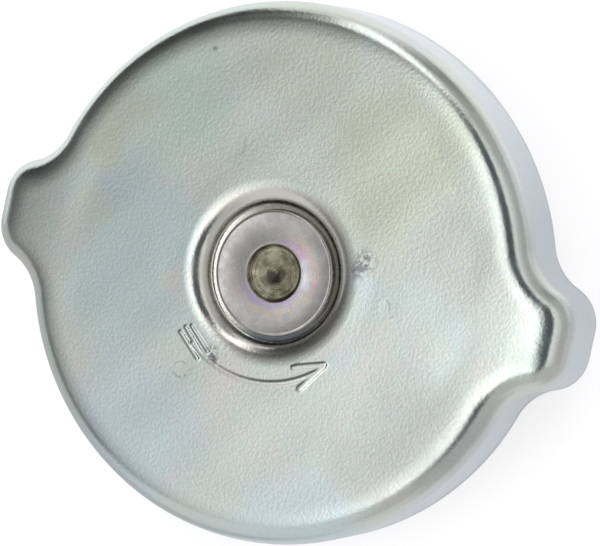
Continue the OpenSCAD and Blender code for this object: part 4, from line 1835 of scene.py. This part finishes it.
@dataclass
class PressureValve:
    """Pressure valve: spring cup, backing plate, rubber seal, and the eyelet that rivets them together."""

    eyelet_r: float = 11.0
    eyelet_gap: float = 0.1
    eyelet_sheet: float = 0.8
    eyelet_under: float = 0.6
    flange_r: float = 15.0
    roll_r: float = 12.3
    stem_hole_r: float = 1.6
    vents: int = 6
    vent_circle_r: float = 3.5
    vent_r: float = 0.9
    seal_r: float = 24.0
    seal_edge_h: float = 2.0
    seal_top: float = 3.0
    seal_chamfer: float = 0.6
    bead_h: float = 0.3
    bead_inner_gap: float = 1.2
    bead_outer_gap: float = 2.0
    bead_flank: float = 0.5
    plate_r: float = 23.4
    plate_t: float = 1.0
    plate_bend_r: float = 1.6
    cup_r: float = 17.2
    cup_lip_r: float = 18.7
    cup_sheet: float = 0.8
    cup_bend_r: float = 0.8
    cup_top: float = 13.4

    def build(self, shop: ValveShop) -> None:
        """Build the four pieces.

        Args:
            shop: Maker of the valve's pieces.
        """
        web_middle = self.cup_floor() - self.eyelet_sheet / 2.0
        vents = HoleRing(HoleAxis.AXIAL, self.vents, self.vent_circle_r, self.vent_r, web_middle,
                         depth=self.eyelet_sheet * 3.0)
        body = Body.PRESSURE_VALVE
        shop.make("valve_cup", body, Slot.BRIGHT_SHEET, self.cup_section())
        shop.make("backing_plate", body, Slot.BRIGHT_SHEET, self.plate_section())
        shop.make("pressure_seal", body, Slot.RUBBER, self.seal_section())
        shop.make("seal_retainer", body, Slot.BRIGHT_SHEET, self.eyelet_section(), vents)

    def eyelet_hole(self) -> float:
        """Radius of the hole for the eyelet."""
        return self.eyelet_r + self.eyelet_gap

    def flange_top(self) -> float:
        """Height of the upper side of the eyelet's flange."""
        return self.eyelet_under + self.eyelet_sheet

    def plate_inner(self) -> float:
        """Inner radius of the backing plate's rim."""
        return self.plate_r - self.plate_t

    def plate_top(self) -> float:
        """Height of the backing plate's upper side."""
        return self.seal_top + self.plate_t

    def cup_floor(self) -> float:
        """Height of the upper side of the cup's floor."""
        return self.plate_top() + self.cup_sheet

    def cup_section(self) -> list[Corner]:
        """Section of the spring cup: floor, wall and turned-out lip.

        Returns:
            The corners.
        """
        hole = self.eyelet_hole()
        inner = self.cup_r - self.cup_sheet
        lip = self.cup_top - self.cup_sheet
        return [Corner(hole, self.cup_floor(), 0.1), Corner(hole, self.plate_top(), 0.1),
                Corner(self.cup_r, self.plate_top(), self.cup_bend_r + self.cup_sheet),
                Corner(self.cup_r, lip, 0.25), Corner(self.cup_lip_r, lip, 0.3),
                Corner(self.cup_lip_r, self.cup_top, 0.3), Corner(inner, self.cup_top, 0.6),
                Corner(inner, self.cup_floor(), self.cup_bend_r)]

    def plate_section(self) -> list[Corner]:
        """Section of the backing plate, whose rim turns down over the seal.

        Returns:
            The corners.
        """
        hole = self.eyelet_hole()
        inner = self.plate_inner()
        return [Corner(hole, self.plate_top(), 0.1), Corner(hole, self.seal_top, 0.1),
                Corner(inner, self.seal_top, self.plate_bend_r - self.plate_t),
                Corner(inner, self.seal_edge_h, 0.2), Corner(self.plate_r, self.seal_edge_h, 0.3),
                Corner(self.plate_r, self.plate_top(), self.plate_bend_r)]

    def seal_section(self) -> list[Corner]:
        """Section of the rubber seal, with the raised bead that meets the filler neck's seat.

        Returns:
            The corners.
        """
        recess_r = self.flange_r + self.eyelet_gap
        bead_in = recess_r + self.bead_inner_gap
        bead_out = self.seal_r - self.bead_outer_gap
        inner = self.plate_inner()
        hole = self.eyelet_hole()
        return [Corner(hole, self.seal_top, 0.1), Corner(hole, self.flange_top(), 0.1),
                Corner(recess_r, self.flange_top(), 0.1), Corner(recess_r, self.bead_h, 0.2),
                Corner(bead_in, self.bead_h, 0.2), Corner(bead_in + self.bead_flank, 0.0, 0.3),
                Corner(bead_out - self.bead_flank, 0.0, 0.3), Corner(bead_out, self.bead_h, 0.2),
                Corner(self.seal_r, self.bead_h, 0.5), Corner(self.seal_r, self.seal_edge_h, 0.35),
                Corner(inner, self.seal_edge_h), Corner(inner, self.seal_top - self.seal_chamfer),
                Corner(inner - self.seal_chamfer, self.seal_top)]

    def eyelet_section(self) -> list[Corner]:
        """Section of the eyelet: flange, sleeve, rolled end, and the web with the vacuum seat.

        Returns:
            The corners.
        """
        inner = self.eyelet_r - self.eyelet_sheet
        floor = self.cup_floor()
        web = floor - self.eyelet_sheet
        roll_top = floor + self.eyelet_sheet
        return [Corner(self.stem_hole_r, floor, 0.15), Corner(self.stem_hole_r, web, 0.15),
                Corner(inner, web, 0.3), Corner(inner, self.eyelet_under, 0.6),
                Corner(self.flange_r, self.eyelet_under, 0.25),
                Corner(self.flange_r, self.flange_top(), 0.25), Corner(self.eyelet_r, self.flange_top(), 0.1),
                Corner(self.eyelet_r, floor, 0.1), Corner(self.roll_r, floor, 0.2),
                Corner(self.roll_r, roll_top, 0.45), Corner(inner, roll_top, 0.45), Corner(inner, floor, 0.2)]


@dataclass
class VacuumValve:
    """Vacuum valve: brass disc on a headed stem, below the eyelet's web."""

    disc_r: float = 8.6
    disc_under: float = 1.95
    disc_t: float = 0.8
    groove_r: Point2 = (4.0, 6.8)
    groove_depth: float = 0.18
    groove_flank: float = 0.5
    stem_r: float = 1.5
    head_r: float = 2.6
    head_h: float = 0.4
    keeper_top: float = 10.2

    def build(self, shop: ValveShop) -> None:
        """Build the disc and the stem."""
        shop.make("vacuum_disc", Body.VACUUM_VALVE, Slot.BRASS, self.disc_section())
        shop.make("vacuum_stem", Body.VACUUM_VALVE, Slot.BRASS, self.stem_section())

    def disc_section(self) -> list[Corner]:
        """Section of the disc, with the groove pressed into its lower side.

        Returns:
            The corners.
        """
        over = self.disc_under + self.disc_t
        pressed = self.disc_under + self.groove_depth
        start, end = self.groove_r
        return [Corner(self.stem_r, over, 0.05), Corner(self.stem_r, self.disc_under, 0.05),
                Corner(start, self.disc_under, 0.3), Corner(start + self.groove_flank, pressed, 0.2),
                Corner(end - self.groove_flank, pressed, 0.2), Corner(end, self.disc_under, 0.3),
                Corner(self.disc_r, self.disc_under, 0.3), Corner(self.disc_r, over, 0.2)]

    def stem_section(self) -> list[Corner]:
        """Section of the stem, with a head at each end.

        Returns:
            The corners.
        """
        low = self.disc_under - self.head_h
        high = self.keeper_top + self.head_h
        return [Corner(0.0, low), Corner(self.head_r, low, 0.3), Corner(self.head_r, self.disc_under, 0.05),
                Corner(self.stem_r, self.disc_under, 0.05), Corner(self.stem_r, self.keeper_top, 0.05),
                Corner(self.head_r, self.keeper_top, 0.05), Corner(self.head_r, high, 0.3), Corner(0.0, high)]


@dataclass(frozen=True)
class LightTent:
    """Light tent that only reflections see: a softbox overhead, pale sides and a dark camera opening.

    Its level changes with the direction, of which right, ahead and up are the parts, from -1 to 1.
    The sweep is the angle from straight up towards the right.
    """

    radius: float = 0.9
    reach_down: float = 94.0
    rows: int = 24
    turns: int = 64
    top_gap: float = 0.02
    facing: float = 13.0
    # Angle of the sweep and the level there
    sweep: tuple[Point2, ...] = (
        (-110.0, 0.2), (-56.0, 0.2), (-45.0, 0.33), (-37.0, 0.5), (-31.0, 0.61), (-26.0, 0.7), (-20.5, 0.9),
        (-17.5, 1.04), (-14.5, 1.3), (-10.0, 1.85), (32.0, 1.85), (40.0, 0.98),
        (52.0, 0.85), (64.0, 0.62), (74.0, 0.54), (120.0, 0.54))
    highest: float = 2.0
    # Degrees by which the sweep comes late and early ahead of the cap
    late: Span = (0.1, 0.45, 0.0, 19.0)
    late_end: Point2 = (0.72, 0.55)
    late_sweep: Point2 = (24.0, 12.0)
    early: Span = (0.3, 0.85, 0.0, 34.0)
    early_sweep: Point2 = (8.0, 20.0)
    # Fall of the left side's level towards ahead, its limits, and the sweep at which it ends
    left_fall: float = 1.7
    left_limits: Point2 = (0.7, 1.25)
    left_end: Point2 = (-19.0, -9.0)
    # Fades of the far left and the far right
    far_left: Span = (0.35, 0.65, 0.0, 0.5)
    far_left_sweep: Point2 = (-5.0, -25.0)
    far_right: Span = (0.72, 0.86, 0.0, 0.4)
    far_right_sweep: Point2 = (16.0, 28.0)
    # Pale front, near the camera's side
    front: Point2 = (-0.38, -0.52)
    front_level: Span = (-0.2, 0.1, 0.84, 0.62)
    # Pale rim along the lower edge, at the left and elsewhere
    left_rim_up: float = 0.34
    rim_up: float = 0.3
    left_rim_end: Point2 = (-0.6, -0.3)
    rim_soft: Point2 = (0.06, -0.08)
    rim_end: Point2 = (0.5, 0.1)
    rim_ahead: Span = (0.0, 0.8, 0.6, 0.95)
    rim_front: Span = (-0.3, -0.7, 0.6, 0.82)
    # Opening: its middle and half widths by sweep and by angle ahead
    opening: Point2 = (18.5, -0.5)
    opening_reach: Point2 = (18.0, 36.0)
    opening_soft: Point2 = (1.1, 0.86)
    opening_level: float = 0.13
    opening_red: float = -0.1
    opening_blue: float = 0.12

    def build(self, target: Vector) -> None:
        """Put up the tent.

        Args:
            target: Middle of the tent.
        """
        mesh = bpy.data.meshes.new("light_tent")
        points, faces = self.dome()
        mesh.from_pydata(points, [], faces)
        tent = MeshMaker.link("light_tent", mesh)
        tent.location = target
        mesh.materials.append(self.material())
        tent.visible_camera = False
        tent.visible_diffuse = False
        tent.visible_shadow = False

    def dome(self) -> tuple[list[Point3], Faces]:
        """Shape the tent.

        Returns:
            Points and faces of its dome.
        """
        points = []
        for i in range(self.rows + 1):
            down = math.radians(self.reach_down * (i + self.top_gap) / self.rows)
            for j in range(self.turns):
                around = 2.0 * math.pi * j / self.turns
                points.append((self.radius * math.sin(down) * math.cos(around),
                               self.radius * math.sin(down) * math.sin(around), self.radius * math.cos(down)))
        faces = MeshMaker.ring_faces(self.rows + 1, self.turns, False)
        faces.append(tuple(range(self.turns)))
        return points, faces

    def material(self) -> bpy.types.Material:
        """Glow that changes with the direction.

        Returns:
            The material.
        """
        material = bpy.data.materials.new("light_tent")
        material.use_nodes = True
        sketch = NodeSketch(material.node_tree)
        place = sketch.add("ShaderNodeTexCoord").outputs["Object"]
        right, ahead, up = sketch.turned_parts(place, self.facing, 1.0 / self.radius)
        sweep = sketch.times(sketch.math("ARCTAN2", right, up), DEGREES)
        level = self.softbox(sketch, sweep, ahead)
        level = sketch.blend(sketch.remap(ahead, *self.front), level, sketch.remap(right, *self.front_level))
        level = self.rim(sketch, level, right, ahead, up)
        gap = self.gap(sketch, sweep, ahead)
        level = sketch.blend(gap, level, self.opening_level)
        red = sketch.plus(1.0, sketch.times(gap, self.opening_red))
        blue = sketch.plus(1.0, sketch.times(gap, self.opening_blue))
        glow = sketch.add("ShaderNodeEmission", sketch.colour_of(red, 1.0, blue), level)
        sketch.add("ShaderNodeOutputMaterial", glow.outputs[0])
        return material

    def softbox(self, sketch: NodeSketch, sweep: Socket, ahead: Socket) -> Socket:
        """Level of the softbox and the sides.

        Args:
            sketch: The material's sketch.
            sweep: The sweep.
            ahead: Part of the direction that points ahead.

        Returns:
            The level.
        """
        late = sketch.times(sketch.remap(ahead, *self.late), sketch.remap(ahead, *self.late_end))
        early = sketch.times(sketch.remap(ahead, *self.early), sketch.remap(sweep, *self.early_sweep))
        degrees = sketch.minus(sweep, sketch.times(late, sketch.remap(sweep, *self.late_sweep)))
        degrees = sketch.plus(degrees, early)
        level = self.sweep_level(sketch, degrees)
        lowest, highest = self.left_limits
        left = sketch.minus(1.0, sketch.times(ahead, self.left_fall))
        left = sketch.math("MINIMUM", sketch.math("MAXIMUM", left, lowest), highest)
        level = sketch.times(level, sketch.blend(sketch.remap(degrees, *self.left_end), left, 1.0))
        fades = ((self.far_left, degrees, self.far_left_sweep), (self.far_right, sweep, self.far_right_sweep))
        for fade, turn, side in fades:
            far = sketch.times(sketch.remap(ahead, *fade), sketch.remap(turn, *side))
            level = sketch.times(level, sketch.minus(1.0, far))
        return level

    def sweep_level(self, sketch: NodeSketch, degrees: Socket) -> Socket:
        """Level along the sweep.

        Args:
            sketch: The material's sketch.
            degrees: Angle of the sweep.

        Returns:
            The level.
        """
        full_turn = 360.0
        ramp = sketch.add("ShaderNodeValToRGB", sketch.plus(sketch.over(degrees, full_turn), 0.5))
        stops = ramp.color_ramp.elements
        for i, (angle, level) in enumerate(self.sweep):
            place = angle / full_turn + 0.5
            stop = stops[i] if i < len(stops) else stops.new(place)
            stop.position = place
            stop.color = (*(level / self.highest,) * 3, 1.0)
        return sketch.times(ramp.outputs[0], self.highest)

    def rim(self, sketch: NodeSketch, level: Socket, right: Socket, ahead: Socket, up: Socket) -> Socket:
        """Add the pale rim along the tent's lower edge.

        Args:
            sketch: The material's sketch.
            level: Level so far.
            right: Part of the direction that points to the right.
            ahead: Part that points ahead.
            up: Part that points up.

        Returns:
            The level.
        """
        edge = sketch.minus(self.left_rim_up, sketch.math("MAXIMUM", ahead, 0.0))
        edge = sketch.blend(sketch.remap(right, *self.left_rim_end), edge, self.rim_up)
        rim = sketch.remap(sketch.minus(up, edge), *self.rim_soft)
        rim = sketch.times(rim, sketch.remap(right, *self.rim_end))
        glint = sketch.remap(ahead, *self.rim_ahead)
        glint = sketch.math("MAXIMUM", glint, sketch.remap(ahead, *self.rim_front))
        return sketch.blend(rim, level, glint)

    def gap(self, sketch: NodeSketch, sweep: Socket, ahead: Socket) -> Socket:
        """Share of the opening for the camera.

        Args:
            sketch: The material's sketch.
            sweep: The sweep.
            ahead: Part of the direction that points ahead.

        Returns:
            The share, 1 in the opening.
        """
        angle = sketch.times(sketch.math("ARCSINE", ahead), DEGREES)
        across = sketch.over(sketch.minus(sweep, self.opening[0]), self.opening_reach[0])
        along = sketch.over(sketch.minus(angle, self.opening[1]), self.opening_reach[1])
        away = sketch.plus(sketch.times(across, across), sketch.times(along, along))
        return sketch.remap(away, *self.opening_soft)


@dataclass(frozen=True)
class Lamp:
    """Soft square lamp: its place and side in metres, and its power in watts."""

    name: str
    place: Point3
    side: float
    power: float

    def build(self, target: Vector) -> None:
        """Hang the lamp, pointed at the cap.

        Args:
            target: Point that it lights.
        """
        data = bpy.data.lights.new(self.name, "AREA")
        data.shape = "SQUARE"
        data.size = self.side
        data.energy = self.power
        lamp = bpy.data.objects.new(self.name, data)
        lamp.location = self.place
        lamp.rotation_euler = (target - Vector(self.place)).to_track_quat("-Z", "Y").to_euler()
        lamp.visible_glossy = False
        bpy.context.scene.collection.objects.link(lamp)


@dataclass(frozen=True)
class Studio:
    """Floor, soft lamps, light tent, world and camera, in metres; the camera's turn is in radians."""

    camera_place: Point3 = (0.19899, 0.05243, 0.50779)
    camera_turn: Point3 = (-0.01237, 0.39751, 0.22618)
    camera_lens: float = 213.72
    camera_sensor: float = 36.0
    target: Point3 = (0.0, 0.0, 0.028)
    fill: float = 0.72
    floor_size: float = 3.0
    floor_z: float = -0.0002
    floor_colour: Colour = (0.46, 0.46, 0.48)
    floor_roughness: float = 0.9
    floor_specular: float = 0.1
    floor_glow: float = 0.68
    # Floor in reflections: glow to the left, where it turns into the plain glow, and its fall to the right
    mirrored_left: Span = (-0.045, -0.025, 0.16, 0.4)
    mirrored_ahead: Point2 = (0.005, 0.045)
    mirrored_right: Span = (0.06, 0.11, 1.0, 0.52)
    tent: LightTent = LightTent()
    lamps: tuple[Lamp, ...] = (
        Lamp("key_lamp", (0.32, 0.4, 0.75), 0.5, 2.2), Lamp("left_lamp", (-0.5, -0.35, 0.6), 0.5, 0.9))

    def build(self) -> None:
        """Set up the whole studio."""
        scene = bpy.context.scene
        scene.view_settings.view_transform = "Standard"
        self.build_camera(scene)
        self.build_world(scene)
        self.build_floor()
        self.tent.build(Vector(self.target))
        for lamp in self.lamps:
            lamp.build(Vector(self.target))

    def build_camera(self, scene: bpy.types.Scene) -> None:
        """Place the camera.

        Args:
            scene: The scene.
        """
        data = bpy.data.cameras.new("camera")
        data.lens = self.camera_lens
        data.sensor_width = self.camera_sensor
        camera = bpy.data.objects.new("camera", data)
        camera.location = self.camera_place
        camera.rotation_euler = self.camera_turn
        scene.collection.objects.link(camera)
        scene.camera = camera

    def build_world(self, scene: bpy.types.Scene) -> None:
        """White backdrop to the camera and in reflections, softer light on matt surfaces.

        Args:
            scene: The scene.
        """
        world = bpy.data.worlds.new("studio")
        scene.world = world
        world.use_nodes = True
        sketch = NodeSketch(world.node_tree)
        path = sketch.add("ShaderNodeLightPath").outputs
        seen = sketch.math("MAXIMUM", path["Is Camera Ray"], path["Is Glossy Ray"])
        seen = sketch.math("MAXIMUM", seen, path["Is Transmission Ray"])
        level = sketch.plus(sketch.times(seen, 1.0 - self.fill), self.fill)
        background = sketch.add("ShaderNodeBackground", (*WHITE, 1.0), level)
        sketch.add("ShaderNodeOutputWorld", background.outputs[0])

    def build_floor(self) -> None:
        """Pale floor that keeps the shadow and is white to the camera elsewhere."""
        half = self.floor_size / 2.0
        corners = [(x * half, y * half, self.floor_z) for x, y in ((-1, -1), (1, -1), (1, 1), (-1, 1))]
        mesh = bpy.data.meshes.new("floor")
        mesh.from_pydata(corners, [], [(0, 1, 2, 3)])
        floor = MeshMaker.link("floor", mesh)
        sketch = ShaderSketch("floor_paper")
        sketch.set("Base Color", self.floor_colour)
        sketch.set("Roughness", self.floor_roughness)
        sketch.set("Specular IOR Level", self.floor_specular)
        sketch.set("Emission Color", WHITE)
        right, ahead, _ = sketch.turned_parts(sketch.place, self.tent.facing)
        near = sketch.remap(right, *self.mirrored_left)
        glow = sketch.blend(sketch.remap(ahead, *self.mirrored_ahead), near, self.floor_glow)
        glow = sketch.times(glow, sketch.remap(right, *self.mirrored_right))
        path = sketch.add("ShaderNodeLightPath").outputs
        direct = sketch.math("MAXIMUM", path["Is Camera Ray"], path["Is Transmission Ray"])
        direct = sketch.times(direct, self.floor_glow)
        mirrored = sketch.times(path["Is Glossy Ray"], glow)
        sketch.set("Emission Strength", sketch.math("MAXIMUM", direct, mirrored))
        mesh.materials.append(sketch.material)


SPRINGS = (
    CoilSpring("pressure_coil", "pressure_spring", Body.VALVE_BODY, "pressure_lift", mean_r=14.2, wire=2.0,
               turns=3.0, base=4.85, height=15.65, anchor=20.5, keep=0.68),
    CoilSpring("vacuum_coil", "vacuum_spring", Body.PRESSURE_VALVE, "vacuum_drop", mean_r=5.4, wire=0.8,
               turns=2.0, base=4.85, height=4.5, anchor=4.85, keep=0.69))

# Slot whose finish each carried-over node wears; the spring plate is of spring steel
NODE_FINISHES = {
    "bayonet_cup": Slot.PLATED_SHEET, "thrust_washer": Slot.BRIGHT_SHEET, "spring_plate": Slot.SPRING_WIRE,
    "housing_washer": Slot.BRIGHT_SHEET, "vacuum_seal": Slot.RUBBER, "spring_keeper": Slot.BRASS,
}


def dress_nodes(nodes: dict[str, bpy.types.Object], finishes: FinishSet) -> None:
    """Give the carried-over nodes their finishes.

    Args:
        nodes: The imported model's objects by name.
        finishes: The cap's finishes.
    """
    for name, slot in NODE_FINISHES.items():
        material = finishes.for_slot(slot)
        for place in nodes[name].material_slots:
            place.material = material
        LOG.info("%s keeps its packed shape, finished in %s", name, material.name)


def main() -> None:
    """Build the cap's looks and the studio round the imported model."""
    logging.basicConfig(level=logging.INFO, format="%(name)s: %(message)s")
    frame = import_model()
    Studio().build()
    finishes = FinishSet()
    dress_nodes(frame["nodes"], finishes)
    CoverSheet().build(finishes)
    RivetStem().build(finishes)
    shop = ValveShop(finishes)
    ValveHousing().build(shop)
    PressureValve().build(shop)
    VacuumValve().build(shop)
    coils = CoilTree(finishes.wire)
    for spring in SPRINGS:
        spring.build(finishes, coils)


if __name__ == "__main__":
    main()
